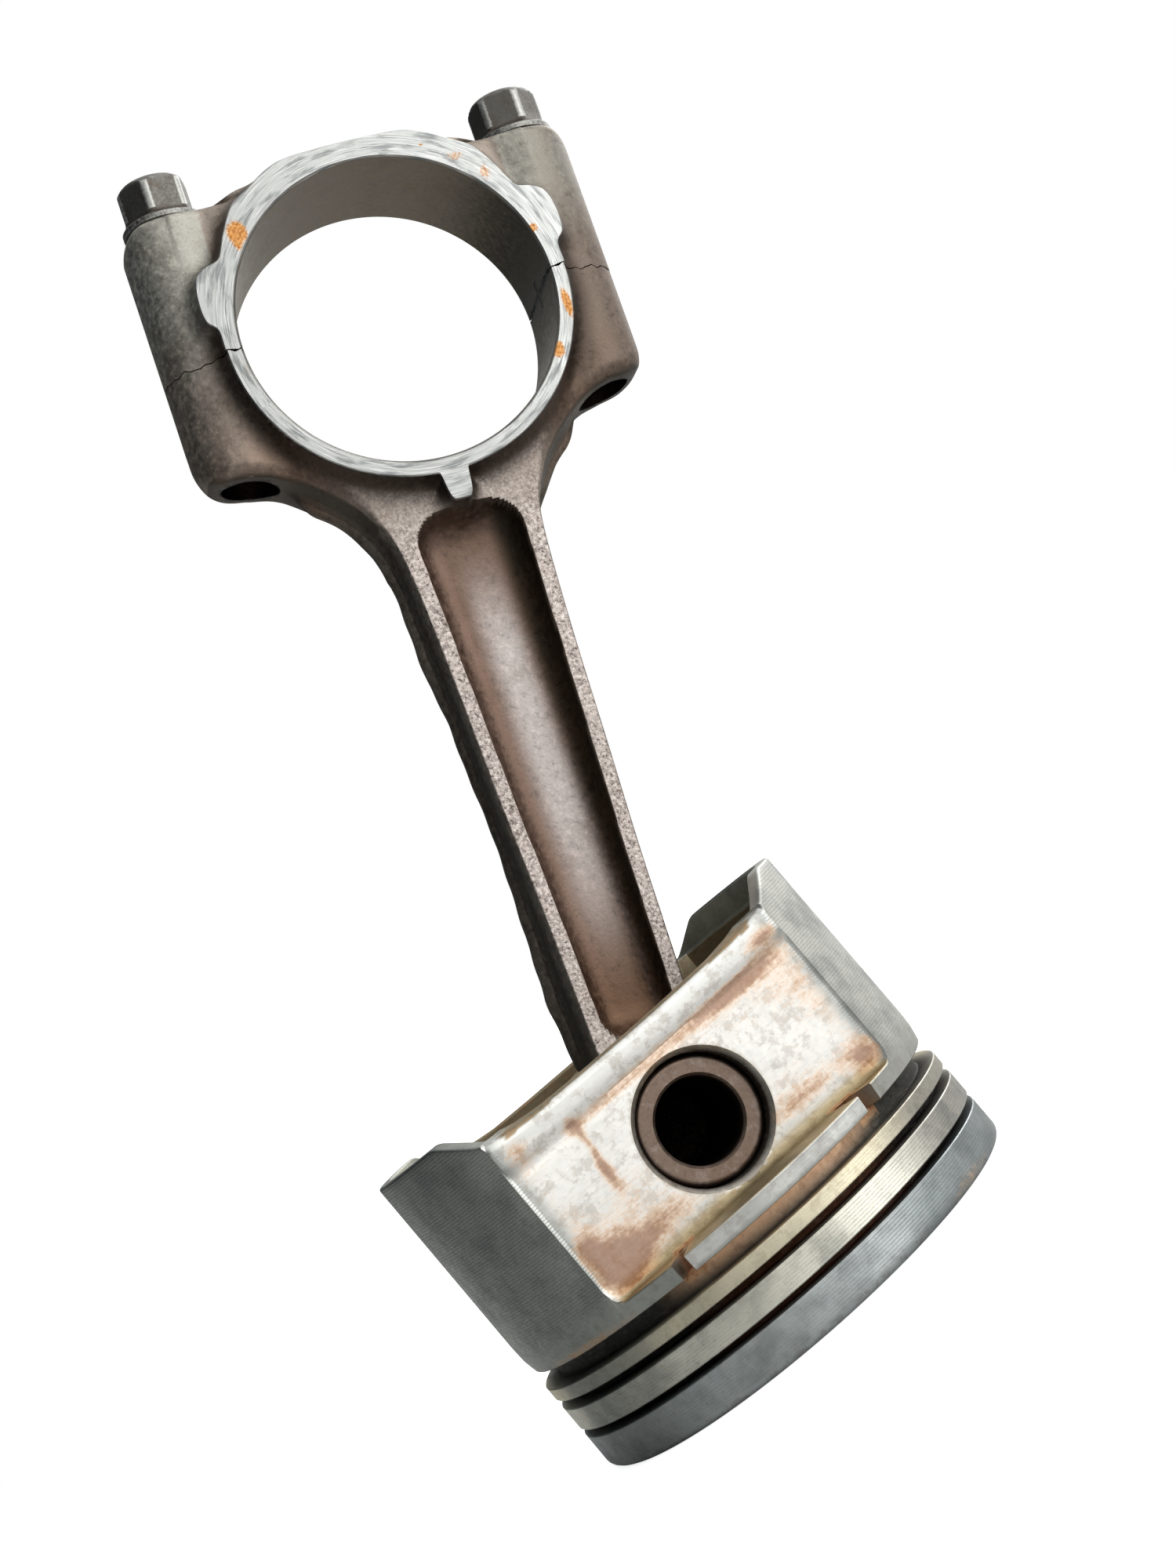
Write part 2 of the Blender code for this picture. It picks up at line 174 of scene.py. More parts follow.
def cast_and_turned():
    """The piston's wall: a profile from the crown's centre out, up the outside, over the rim and
    back down the inside, whose radii and heights change with the angle round the bore. Closer
    columns keep the edges of the flat sides and of the oil notches crisp."""
    crisp = [side + at + step for side in (0, 180) for at in (-FLAT_TURN, FLAT_TURN)
             for step in (-0.17, 0.17)]
    crisp += [side + at + way * (half + step) for side in (0, 180) for at, half in OIL_NOTCHES
              for way in (-1, 1) for step in (0.0, 0.14)]
    angle = np.unique(np.mod(np.radians(np.hstack([np.arange(0.0, 360.0, 0.8), crisp])), 2 * np.pi))
    flat_cos = np.abs(np.cos(angle)) + 1e-9
    across = FLAT_Y * np.abs(np.tan(angle))
    on_flat = across < FLAT_X
    width = np.where(on_flat, across, BORE_R * np.abs(np.sin(angle)))
    top = np.interp(width, END_X, END_Z)
    from_centre = np.degrees(np.mod(angle + np.pi / 2, np.pi) - np.pi / 2)
    notch = np.zeros(angle.shape, bool)
    for at, half in OIL_NOTCHES:
        notch |= np.abs(from_centre - at) < half + 0.05
    in_corner = np.clip(across - (FLAT_X - LEDGE_CORNER), 0.0, LEDGE_CORNER)
    ledge = LEDGE_Z + LEDGE_CORNER - np.sqrt(LEDGE_CORNER ** 2 - in_corner ** 2)
    ledge = np.where(on_flat, ledge, LEDGE_Z + LEDGE_CORNER)
    rows = [(r, 0.0) for r in (0.0, 9.0, 18.0, 27.0, 34.0, LAND_R - CROWN_EDGE - 0.4)]

    for bend in np.radians(np.linspace(0.0, 90.0, 6)):
        rows.append((LAND_R - CROWN_EDGE * (1.0 - np.sin(bend)), CROWN_EDGE * (1.0 - np.cos(bend))))
    rows += [(LAND_R, z) for z in (2.6, 3.8, 5.1, GROOVES[0][0] - EDGE_BREAK)]
    for number, (low, high) in enumerate(GROOVES):
        past = np.where(notch, NOTCH_ROOT, LAND_R - LAND_STEP) if number == 2 else LAND_R
        rows += [(LAND_R - EDGE_BREAK, low), (GROOVE_ROOT + GROOVE_FILLET, low),
                 (GROOVE_ROOT, low + GROOVE_FILLET), (GROOVE_ROOT, high - GROOVE_FILLET),
                 (GROOVE_ROOT + np.where(notch, -0.1, GROOVE_FILLET), high),
                 (past - EDGE_BREAK, high), (past, high + EDGE_BREAK)]
        if number < 2:
            following = GROOVES[number + 1][0] - EDGE_BREAK
            rows += [(LAND_R, high + (following - high) * q) for q in (0.35, 0.7)]
            rows.append((LAND_R, following))
    grow = np.where(on_flat, 0.14, 0.19)
    for z in (20.0, 20.9, 21.6):
        rows.append((np.where(notch, NOTCH_ROOT, LAND_R - LAND_STEP + grow * (z - GROOVES[2][1])), z))
    flat_r = np.minimum(FLAT_Y / flat_cos, BORE_R - 0.02)
    edge_r = np.where(on_flat, LAND_R - 0.05, BORE_R)
    edge_r = np.where(notch, NOTCH_ROOT, edge_r)
    wall_r = np.where(on_flat, flat_r, BORE_R)
    rows += [(edge_r, ledge - 0.25), (edge_r - 0.2 * on_flat, ledge - 0.12 * ~on_flat),
             (np.minimum(wall_r + 1.9 * on_flat, edge_r - 0.25 * on_flat), ledge - 0.05 * ~on_flat)]
    for bend in np.radians((18.0, 36.0, 54.0, 72.0, 90.0)):
        rows.append((np.minimum(wall_r + LEDGE_FILLET * on_flat * (1.0 - np.sin(bend)), BORE_R),
                     ledge + LEDGE_FILLET * (1.0 - np.cos(bend))))
    round_top = np.where(on_flat, PANEL_ROUND, RIM_ROUND)
    for q in np.linspace(0.0, 1.0, 31)[1:]:
        z = ledge + LEDGE_FILLET + (top - round_top - ledge - LEDGE_FILLET) * q
        lipped = FLAT_Y + (LIP_Y - FLAT_Y) * ease(z, LIP_Z, LIP_Z + 1.7)
        lipped = lipped - 0.12 * spot(z, 0.0, LIP_Z, 0.0, 0.5, 1.0)
        rows.append((np.where(on_flat, np.minimum(lipped / flat_cos, BORE_R - 0.02), BORE_R), z))
    outer = rows[-1][0]
    for bend in np.radians(np.linspace(15.0, 90.0, 6)):
        rows.append((outer - round_top * (1.0 - np.cos(bend)), top - round_top * (1.0 - np.sin(bend))))

    inner = np.minimum(FLAT_IN_Y / flat_cos, SKIRT_IN_R)
    bored = top > MOUTH_Z + 0.1
    mouth = np.where(bored, MOUTH_R, inner)
    rows += [(mouth + 0.35, top), (mouth, top - 0.35), (mouth, np.where(bored, MOUTH_Z + 0.3, top - 0.8)),
             (mouth - 0.25 * bored, np.where(bored, MOUTH_Z, top - 1.0)),
             (inner + 0.3 * bored, np.where(bored, MOUTH_Z, top - 1.2)),
             (inner, np.where(bored, MOUTH_Z - 0.35, top - 1.5))]
    start = rows[-1][1]
    rows += [(inner, start + (SKIRT_IN_Z - start) * q) for q in np.linspace(0.0, 1.0, 9)[1:]]
    belt = np.minimum(BELT_IN_Y / flat_cos, BELT_IN_R)
    for q in np.linspace(0.0, 1.0, 7)[1:]:
        rows.append((inner + (belt - inner) * ease(q, 0.0, 1.0), SKIRT_IN_Z - BELT_TAPER * q))
    rows += [(belt, z) for z in (19.0, 15.5, 12.8)]
    for bend in np.radians(np.linspace(15.0, 90.0, 6)):
        rows.append((belt - CROWN_FILLET * (1.0 - np.cos(bend)),
                     CROWN_T + CROWN_FILLET - CROWN_FILLET * np.sin(bend)))
    rows += [((belt - CROWN_FILLET) * q, CROWN_T) for q in (0.7, 0.35, 0.0)]
    r = np.stack([np.broadcast_to(row[0], angle.shape) for row in rows])
    z = np.stack([np.broadcast_to(row[1], angle.shape) for row in rows])
    return np.stack([r * np.sin(angle), -r * np.cos(angle), z], -1)


def boss(name, side):
    """A pin boss with its pillar: an outline carried along Y, drawn in a little at its inner face."""
    turn = np.radians(np.linspace(188.0, -8.0, 33))
    x = np.hstack([-13.5, -BOSS_R, BOSS_R * np.cos(turn), BOSS_R, 13.5])
    z = np.hstack([5.5, PIN_Z - 6.0, PIN_Z + BOSS_R * np.sin(turn), PIN_Z - 6.0, 5.5])
    steps = ((27.0, 1.0), (15.0, 1.0), (13.5, 0.985), (BOSS_IN_Y + 0.1, 0.95), (BOSS_IN_Y, 0.92))
    rows = [np.stack([x * s, np.full(x.shape, side * y), 24.0 + (z - 24.0) * s], -1) for y, s in steps]
    rows = [np.broadcast_to(rows[0].mean(0), rows[0].shape)] + rows
    rows.append(np.broadcast_to(rows[-1].mean(0), rows[-1].shape))
    return turned(name, np.stack(rows))


piston = turned("piston_casting", cast_and_turned())
bore_line = [(0.0, -50.0), (PIN_BORE_R, -50.0), (PIN_BORE_R, -FLAT_Y - 0.62),
             (BORE_MOUTH_R + 0.4, -FLAT_Y - 0.6), (BORE_MOUTH_R, -FLAT_Y), (PIN_BORE_R, -FLAT_Y + 0.9)]
bore_line += [(r, -y) for r, y in reversed(bore_line)]
machine(piston, add=[boss("boss_near", -1), boss("boss_far", 1)],
        take=[along_y("pin_bore", bore_line)])

PANEL_DABS = ((1.0, -23.5, 25.5, 3.0, 3.2), (0.6, -26.0, 31.0, 1.4, 1.6), (0.62, -15.0, 26.5, 6.5, 1.8),
              (0.8, 25.5, 25.0, 2.8, 2.0), (0.55, 14.0, 26.5, 6.0, 1.3), (0.85, -16.2, 38.0, 0.7, 2.2),
              (0.7, -16.0, 46.3, 1.0, 1.2), (0.6, -15.6, 42.6, 0.5, 2.2), (0.75, 16.0, 45.4, 4.0, 0.8),
              (0.8, 25.0, 48.7, 2.4, 0.9), (0.6, -24.5, 48.8, 1.8, 1.4), (0.34, 22.5, 41.0, 3.4, 6.0),
              (0.3, 12.0, 41.5, 7.0, 3.0), (0.32, -21.0, 30.0, 5.0, 5.0), (0.34, 13.0, 30.0, 6.0, 3.4),
              (0.3, -13.0, 33.0, 5.0, 4.0), (0.3, 25.5, 36.0, 1.6, 8.0), (0.3, -25.0, 38.0, 1.6, 7.0))

x, y, z = places(piston)
u = x * np.where(y < 0.0, 1.0, -1.0)
r, from_pin = np.hypot(x, y), np.hypot(x, z - PIN_Z)
turn = np.degrees(np.arctan2(u, np.abs(y)))
alike = 1.0 - ease(np.abs(turn), 70.0, 86.0)
flat = (np.abs(np.abs(y) - FLAT_Y) < 0.75) & (np.abs(x) < FLAT_X + 0.1) & (z > 22.6)
ledge = (z > 21.9) & (z < 24.2) & (r < 40.72) & (np.abs(x) < FLAT_X) & (r > 28.0)
inside = ((r < 37.2) & (z > 8.2) & (np.abs(y) < 28.7)) | ((r < 38.6) & (z > 51.0))
groove = (r < 40.3) & (r > 33.0) & (z < 19.15) & (z > 6.0) & ~inside
mouth = (from_pin < 11.25) & (np.abs(y) > 28.3)
bore = (from_pin < 10.6) & (np.abs(y) > 12.0) & (np.abs(y) < 28.6)
crown_land = z < GROOVES[0][0]
second_land = ease(z, 7.8, 8.0) * (z < GROOVES[1][0])
third_land = ease(z, 13.6, 13.8) * (z < 16.2)
last_land = ease(z, 19.2, 19.4) * (z < 22.1)
skirt = z > 19.0

tone = np.tile(srgb(164, 166, 160), (len(x), 1))
# Painted light: the right of the skirt lighter.
tone = lay(tone, (188, 188, 182), alike * ease(turn, 10.0, 50.0) * skirt)
tone = lay(tone, (168, 174, 174), crown_land)
# Painted highlight on the front of the crown land, and painted shade on its right.
tone = lay(tone, (194, 200, 200), crown_land * alike * (1.0 - ease(turn, 2.0, 30.0)))
tone = lay(tone, (150, 156, 157), crown_land * alike * ease(turn, 2.0, 32.0))
tone = lay(tone, (232, 230, 216), second_land)
# The third land is cream; painted shade takes it down on the left.
tone = lay(tone, (226, 218, 192), third_land * (1.0 - 0.65 * alike * (1.0 - ease(turn, -50.0, -36.0))))
tone = lay(tone, (232, 232, 228), last_land * (np.abs(turn - 1.0) < 27.5))
# Painted shade: the right of the second and third lands greyer, and the left of the lands and of the skirt
# darker.
tone = lay(tone, (146, 143, 138), 0.8 * alike * ease(turn, 16.0, 40.0) * (z > 7.8) * (z < 16.2))
tone = lay(tone, (104, 108, 104), 0.7 * alike * (1.0 - ease(turn, -62.0, -36.0)) * (z < 16.2))
tone = lay(tone, (118, 122, 118), 0.6 * alike * (1.0 - ease(turn, -56.0, -44.0)) * skirt)
# Painted shade, in yellow-brown, on the step under the ring belt above the flat sides.
tone = lay(tone, (166, 150, 118), ledge)
tone = lay(tone, (251, 249, 244), flat * ease(z, 23.0, 25.5))
tone = lay(tone, (226, 226, 222), flat * ease(z, 47.8, 50.0))
tone = lay(tone, (186, 188, 184), flat * ease(np.abs(x), 25.0, 27.4) * 0.8)
# Dark in the ring grooves: partly carbon in them, partly painted shade of their depth.
tone = lay(tone, (26, 22, 19), groove * (1.0 - 0.1 * (z > 15.5)))
middle = ease(turn, -40.0, -22.0) * (1.0 - ease(turn, 18.0, 34.0))
tone = lay(tone, (232, 196, 164), groove * ease(z, 16.2, 17.2) * middle)
tone = lay(tone, (74, 46, 32), groove * (z < 14.2) * middle * 0.75)
tone = lay(tone, (146, 137, 115), inside)
tone = lay(tone, (176, 176, 164), inside * ease(z, 52.2, 52.6))
tone = lay(tone, (226, 220, 210), mouth)
# Painted shade: the wall of the pin bore dark grey.
tone = lay(tone, (70, 64, 60), bore)
tone = lay(tone, (92, 86, 78), z < 0.02)

stain = dabbed(u, z, PANEL_DABS)
stain += 0.5 * spot(z, z, 45.9, 45.9, 0.7, 9.0) * ease(u, -17.0, -12.0) * (1.0 - ease(u, 20.0, 27.0))
stain += 0.22 * ease(z, 42.0, 45.0) * (1.0 - ease(z, 46.5, 48.0))
stain *= flat
by_notch = (np.abs(turn + 26.0) < 3.0) | (np.abs(turn - 30.0) < 3.6)
stain += 0.8 * by_notch * (z > 18.8) * (z < 22.6) * (r < 40.3)
stain += 0.62 * spot(turn, z, -58.0, 19.6, 16.0, 0.6) * (r > 39.0)
stain += 0.45 * spot(turn, z, 38.0, 1.2, 9.0, 1.0) * (r > 39.0) * crown_land
stain += inside * (0.22 + 0.15 * ease(z, 30.0, 50.0)) * (z < 52.3)
lines = ((r > 40.3) & (z > 1.5)) | ((r > 38.0) & (z > 52.4) & inside)
lines = lines * np.where((z > 13.6) & (z < 22.2), 0.35, 1.0)
rough = 0.42 - 0.06 * flat + 0.12 * ledge + 0.2 * inside + 0.28 * (z < 0.02) + 0.2 * groove
paint(piston, tone, (np.clip(stain, 0, 1), lines, rough))


def wire(tree, kind, inputs=None, **settings):
    """Add a node, set it, and give each named input a value or another node's output."""
    node = tree.nodes.new("ShaderNode" + kind)
    for name, value in settings.items():
        setattr(node, name, value)
    for socket, value in (inputs or {}).items():
        if isinstance(value, bpy.types.NodeSocket):
            tree.links.new(value, node.inputs[socket])
        else:
            node.inputs[socket].default_value = value
    return node.outputs


def combine(tree, operation, *values):
    """Sum, product or other plain reckoning of values, as a Math node."""
    return wire(tree, "Math", dict(enumerate(values)), operation=operation)[0]


def over(tree, amount, base, colour):
    """Lay a colour over another by an amount from 0 to 1."""
    return wire(tree, "Mix", {0: amount, 6: base, 7: colour}, data_type="RGBA")[2]


def noise(tree, where, per_mm, detail=3.0, roughness=0.55):
    """Cloudy noise of the given number of cells per mm."""
    return wire(tree, "TexNoise", {"Vector": where, "Scale": per_mm, "Detail": detail,
                                   "Roughness": roughness})["Fac"]


def level(tree, value, low, high, start=0.0, end=1.0):
    """Spread the span low to high of a value smoothly over start to end."""
    return wire(tree, "MapRange", {"Value": value, 1: low, 2: high, 3: start, 4: end},
                interpolation_type="SMOOTHSTEP")[0]


def begin(name, metallic=1.0):
    """A material with its shader, its place in mm, and what the piece's vertices carry."""
    mat = bpy.data.materials.new(name)
    mat.use_nodes = True
    tree = mat.node_tree
    shader = tree.nodes["Principled BSDF"]
    shader.inputs["Metallic"].default_value = metallic
    where = wire(tree, "Mapping", {"Vector": wire(tree, "TexCoord")["Object"], "Scale": (1000.0,) * 3})[0]
    tone = wire(tree, "Attribute", attribute_name="tone")["Color"]
    marks = wire(tree, "SeparateColor", {0: wire(tree, "Attribute", attribute_name="marks")["Color"]})
    return mat, tree, shader, where, tone, marks


def finish(tree, shader, colour, roughness, height, depth_mm):
    """Join the colour, the roughness and a bump of the given depth to the shader."""
    bump = wire(tree, "Bump", {"Height": height, "Distance": depth_mm * MM, "Strength": 1.0})[0]
    tree.links.new(colour, shader.inputs["Base Color"])
    tree.links.new(roughness, shader.inputs["Roughness"])
    tree.links.new(bump, shader.inputs["Normal"])


def swatch(*values):
    """A swatch as a node's colour."""
    return (*srgb(*values), 1.0)


def worn_aluminium():
    """Aluminium with turned lines, cloudy tarnish, fine scuffs and brown oil stains, and painted shade along
    the turned lines.
    """
    mat, tree, shader, where, tone, marks = begin("worn_aluminium")
    cloud = noise(tree, where, 0.16, 4.0)
    fine = noise(tree, where, 1.1, 6.0, 0.7)
    grit = noise(tree, where, 4.0, 3.0, 0.6)
    drawn = wire(tree, "Mapping", {"Vector": where, "Scale": (0.35, 0.35, 2.2)})[0]
    scuff = noise(tree, drawn, 1.0, 6.0, 0.75)
    share = combine(tree, "MULTIPLY_ADD", marks[1], 0.34, 0.08)
    tarnish = combine(tree, "MULTIPLY", level(tree, cloud, 0.4, 0.7), share)
    colour = over(tree, tarnish, tone, swatch(84, 92, 94))
    colour = over(tree, level(tree, scuff, 0.5, 0.72, 0.0, 0.22), colour, swatch(146, 143, 136))
    patch = level(tree, noise(tree, where, 0.42, 7.0, 0.72), 0.5, 0.6, 0.0, 0.36)
    dulled = wire(tree, "VectorMath", {0: tone, 1: (0.42, 0.35, 0.29)}, operation="MULTIPLY")["Vector"]
    patch = combine(tree, "MULTIPLY", patch, combine(tree, "SUBTRACT", 1.0, marks[1]))
    colour = over(tree, patch, colour, dulled)
    speck = level(tree, noise(tree, where, 1.7, 5.0, 0.7), 0.56, 0.66, 0.0, 0.5)
    speck = combine(tree, "MULTIPLY", speck, share)
    colour = over(tree, speck, colour, swatch(120, 88, 64))
    flecked = combine(tree, "MULTIPLY", fine, 0.5)
    flecked = combine(tree, "ADD", flecked, combine(tree, "MULTIPLY", scuff, 0.5))
    broken = combine(tree, "ADD", marks[0], combine(tree, "MULTIPLY_ADD", flecked, 1.3, -0.65))
    broken = combine(tree, "MULTIPLY", broken, level(tree, marks[0], 0.02, 0.2))
    rust = over(tree, level(tree, broken, 0.45, 1.0), swatch(226, 184, 142), swatch(158, 112, 80))
    colour = over(tree, level(tree, broken, 0.22, 0.85, 0.0, 0.8), colour, rust)
    height_z = wire(tree, "SeparateXYZ", {0: where})[2]
    ridge = combine(tree, "SINE", combine(tree, "MULTIPLY", height_z, 2.0 * math.pi / TURNED_FEED))
    ridge = combine(tree, "MULTIPLY", ridge, marks[1])
    height = combine(tree, "MULTIPLY_ADD", ridge, 0.35, combine(tree, "MULTIPLY", grit, 0.5))
    # Painted shade along the turned lines: the colour darkens over one half of each ridge.
    shade = combine(tree, "MULTIPLY", ridge, 0.06)
    colour = over(tree, combine(tree, "MAXIMUM", shade, 0.0), colour, swatch(60, 62, 60))
    rough = combine(tree, "ADD", marks[2], level(tree, fine, 0.3, 0.7, -0.07, 0.1))
    rough = combine(tree, "ADD", rough, level(tree, broken, 0.36, 0.62, 0.0, 0.15))
    finish(tree, shader, colour, rough, height, 0.012)
    return mat


def fit(obj, node, slot, body, *materials, crease=32.0):
    """Shade a finished piece, give it its materials, and let it stand for its CAD node."""
    obj.data.shade_smooth()
    obj.data.set_sharp_from_angle(angle=math.radians(crease))
    for mat in materials:
        obj.data.materials.append(mat)
    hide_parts(node)
    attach(obj, body)


fit(piston, "piston", "piston_aluminium", "piston", worn_aluminium())

# ---------------------------------------------------------------- piston pin
# A hollow hardened steel pin, ground outside and faced at its ends, with a thin web at its middle.
# It is pressed in the rod's small end and free in the piston's bosses, a little inside the flat
# sides.
PIN_R, PIN_HOLE_R, PIN_HALF = 10.0, 6.8, 26.6
PIN_EDGE, HOLE_EDGE, PIN_WEB = 0.6, 0.45, 2.0


def pin_profile():
    """Profile of the pin as (radius, y), from the middle of its web out to the end and back."""
    half = [(0.0, PIN_WEB / 2), (3.0, PIN_WEB / 2), (PIN_HOLE_R - 1.0, PIN_WEB / 2),
            (PIN_HOLE_R - 0.3, PIN_WEB / 2 + 0.3), (PIN_HOLE_R, PIN_WEB / 2 + 1.0), (PIN_HOLE_R, 10.0),
            (PIN_HOLE_R, 18.0), (PIN_HOLE_R, 23.0), (PIN_HOLE_R, PIN_HALF - HOLE_EDGE),
            (PIN_HOLE_R + HOLE_EDGE, PIN_HALF), (7.7, PIN_HALF), (8.3, PIN_HALF), (9.0, PIN_HALF),
            (PIN_R - PIN_EDGE, PIN_HALF), (PIN_R - 0.25, PIN_HALF - 0.2), (PIN_R, PIN_HALF - PIN_EDGE),
            (PIN_R, 22.0), (PIN_R, 16.0), (PIN_R, 8.0), (PIN_R, 0.0)]
    return [(r, -y) for r, y in half] + half[-2::-1]


pin = along_y("wrist_pin", pin_profile(), 144)
x, y, z = places(pin)
r = np.hypot(x, z - PIN_Z)
tone = np.tile(srgb(112, 98, 90), (len(x), 1))
end_face = np.abs(y) > PIN_HALF - 0.1
tone = lay(tone, (132, 114, 102), end_face)
# Painted shade inside the pin's hollow: dark, less so towards the ends, near black in its middle.
tone = lay(tone, (30, 24, 20), (r < 7.0) * (1.0 - 0.5 * ease(np.abs(y), 24.0, PIN_HALF)))
tone = lay(tone, (10, 8, 7), (r < 6.85) * (np.abs(y) < 12.0))
stain = dabbed(x, z, ((0.6, 3.0, 26.5, 2.0, 1.2), (0.5, -6.0, 29.0, 1.5, 2.0)))
paint(pin, tone, (stain * (np.abs(y) > 26.0), end_face, np.where(r < 7.0, 0.6, 0.4)))


def pin_finish():
    """Brown-grey ground steel: faint turning on the end face, thin patches of light wear."""
    mat, tree, shader, where, tone, marks = begin("ground_pin_steel")
    cloud = noise(tree, where, 0.45, 4.0, 0.6)
    fine = noise(tree, where, 2.2, 4.0, 0.65)
    patch = combine(tree, "MULTIPLY", level(tree, cloud, 0.5, 0.68, 0.0, 0.6), marks[1])
    colour = over(tree, patch, tone, swatch(165, 152, 144))
    colour = over(tree, level(tree, fine, 0.45, 0.72, 0.0, 0.3), colour, swatch(74, 60, 52))
    flat_round = wire(tree, "Mapping", {"Vector": where, "Scale": (1.0, 0.0, 1.0),
                                        "Location": (0.0, 0.0, -PIN_Z)})[0]
    out = wire(tree, "VectorMath", {0: flat_round}, operation="LENGTH")["Value"]
    rings = combine(tree, "SINE", combine(tree, "MULTIPLY", out, 28.0))
    rings = combine(tree, "MULTIPLY", rings, marks[1])
    height = combine(tree, "MULTIPLY_ADD", rings, 0.25, fine)
    rough = combine(tree, "ADD", marks[2], level(tree, cloud, 0.35, 0.7, -0.06, 0.1))
    finish(tree, shader, colour, rough, height, 0.01)
    return mat


fit(pin, "piston_pin", "pin_steel", "rod", pin_finish())

# ---------------------------------------------------------------- connecting rod
# Forged in steel with an I-section beam that flares into the lower half of the big end, and two
# bolt columns open at their lower ends. The seam of the dies stands out along its sides. Only the
# ring round the bore and the eye are machined; the big end was cracked in two afterwards.
LEAN = math.radians(22.0)
BIG_S = 141.0
BIG_R, RING_R, BIG_HALF = 26.5, 29.2, 12.0
EYE_R = 14.6
BEAM_HALF = 8.2
FILLET_TOP = BIG_HALF - 0.35
RING_SEAT_R = BIG_R + 1.1
TONGUE_LOW, TONGUE_HIGH, TONGUE_R = 108.9, 113.0, 1.7
COLUMN_T, COLUMN_R = 31.3, 8.3
SHANK_R, HOLE_R = 4.4, 4.75
CRACK_GAP = 0.22
ROD_EDGE = ((8.5, 9.0), (8.7, 18.0), (9.3, 40.0), (10.15, 60.0), (10.85, 80.0), (11.8, 97.0),
            (12.8, 104.0), (14.7, 108.2), (17.1, 111.6), (20.6, 115.1), (24.3, 118.2), (27.6, 120.2),
            (31.2, 121.2), (35.6, 121.9), (38.2, 123.3), (39.4, 125.8), (39.6, 129.0), (39.6, 134.0),
            (39.6, 141.0))
RECESS_DEPTH, RECESS_MID, RECESS_HALF = 5.6, 60.8, 45.8
RECESS_CORNER, RECESS_SLOPE, RECESS_BEND = 5.6, 4.8, 2.3
RECESS_S = (15.2, 40.0, 60.0, 80.0, 106.6)
RECESS_W = (6.1, 6.8, 7.6, 8.3, 9.2)
FLASH_S = (9.0, 14.0, 26.0, 36.0, 45.0, 52.0, 60.0, 74.0, 82.0, 100.0)
FLASH = (0.0, 1.7, 2.2, 2.0, 1.4, 1.2, 1.2, 1.4, 1.9, 1.7)
SEAM_ROWS = ((-0.6, 0.25), (-0.2, 0.5), (-0.1, 0.95), (0.1, 0.95), (0.2, 0.5), (0.6, 0.25))


def in_rod(t, y, s):
    """Points of the leaning rod, from across (t), depth (y) and distance from the pin (s): t and s
    are turned about the pin's axis by the lean."""
    t, y, s = np.broadcast_arrays(t, y, s)
    x = s * math.sin(LEAN) + t * math.cos(LEAN)
    return np.stack([x, y, PIN_Z + s * math.cos(LEAN) - t * math.sin(LEAN)], -1)


def from_rod(obj):
    """Every vertex of a piece as t, y, s, turned back by the lean."""
    x, y, z = places(obj)
    z = z - PIN_Z
    return x * math.cos(LEAN) - z * math.sin(LEAN), y, x * math.sin(LEAN) + z * math.cos(LEAN)


def flow(points, spacing):
    """A smooth line through points (Catmull-Rom), cut to steps of about the given length."""
    p = np.array(points, float)
    p = np.vstack([2 * p[0] - p[1], p, 2 * p[-1] - p[-2]])
    q = np.linspace(0.0, 1.0, 24, endpoint=False)[:, None, None]
    a, b, c, d = p[:-3], p[1:-2], p[2:-1], p[3:]
    line = 0.5 * (2 * b + (c - a) * q + (2 * a - 5 * b + 4 * c - d) * q ** 2
                  + (3 * b - a - 3 * c + d) * q ** 3)
    line = np.vstack([line.transpose(1, 0, 2).reshape(-1, 2), p[-2]])
    run = np.hstack([0.0, np.cumsum(np.hypot(*np.diff(line, axis=0).T))])
    steps = np.linspace(0.0, run[-1], int(run[-1] / spacing) + 1)
    return np.stack([np.interp(steps, run, line[:, k]) for k in (0, 1)], -1)


def off_line(t, s, line):
    """Shortest distance of each point (t, s) to a line of points."""
    near = np.full(t.shape, 1e9)
    for (t0, s0), (t1, s1) in zip(line[:-1], line[1:]):
        dt, ds = t1 - t0, s1 - s0
        q = np.clip(((t - t0) * dt + (s - s0) * ds) / (dt * dt + ds * ds + 1e-12), 0.0, 1.0)
        near = np.minimum(near, np.hypot(t - t0 - q * dt, s - s0 - q * ds))
    return near


def soft_max(a, b, blend):
    """The greater of two heights, plus a parabola that fills the valley where they nearly meet."""
    return np.maximum(a, b) + np.clip(blend - np.abs(a - b), 0.0, None) ** 2 / (4.0 * blend)


def round_off(half, distance, radius):
    """Lower a height near an outline by the drop of a quarter circle, so that its edge is round."""
    radius = np.minimum(radius, 0.6 * half)
    q = np.clip(radius - distance, 0.0, radius)
    return half - (radius - np.sqrt(radius ** 2 - q ** 2))


def crack(t, y, s, way):
    """Move points to the two sides of one thin uneven crack: half its gap and three sine waves over
    the face, both fading out with the distance from the parting plane."""
    fade = np.exp(-np.abs(s - BIG_S) / 1.2)
    wave = 0.22 * np.sin(0.9 * y + 1.7 * t) + 0.16 * np.sin(2.1 * y - 1.1 * t + 1.0)
    wave = wave + 0.1 * np.sin(3.7 * t + 0.6 * y + 2.0)
    return s + (wave + way * 0.5 * CRACK_GAP) * fade


def flash_line(t, s):
    """How far the seam of the two forging dies stands out: uneven along the beam and under the
    flares, nothing round the columns or at the eye."""
    side = np.abs(t)
    beam = np.interp(s, FLASH_S, FLASH) * (1.0 + 0.05 * np.sin(0.31 * s) + 0.04 * np.sin(0.83 * s))
    flare = 1.7 * (1.0 + 0.1 * np.sin(0.6 * side))
    flare = flare * (1.0 - ease(side, 20.5, 26.5)) * (1.0 - ease(s, 121.5, 124.0))
    return np.where(s > 100.0, flare, beam) * np.where(t < 0.0, 1.3, 0.4 + 0.9 * ease(s, 101.0, 112.0))


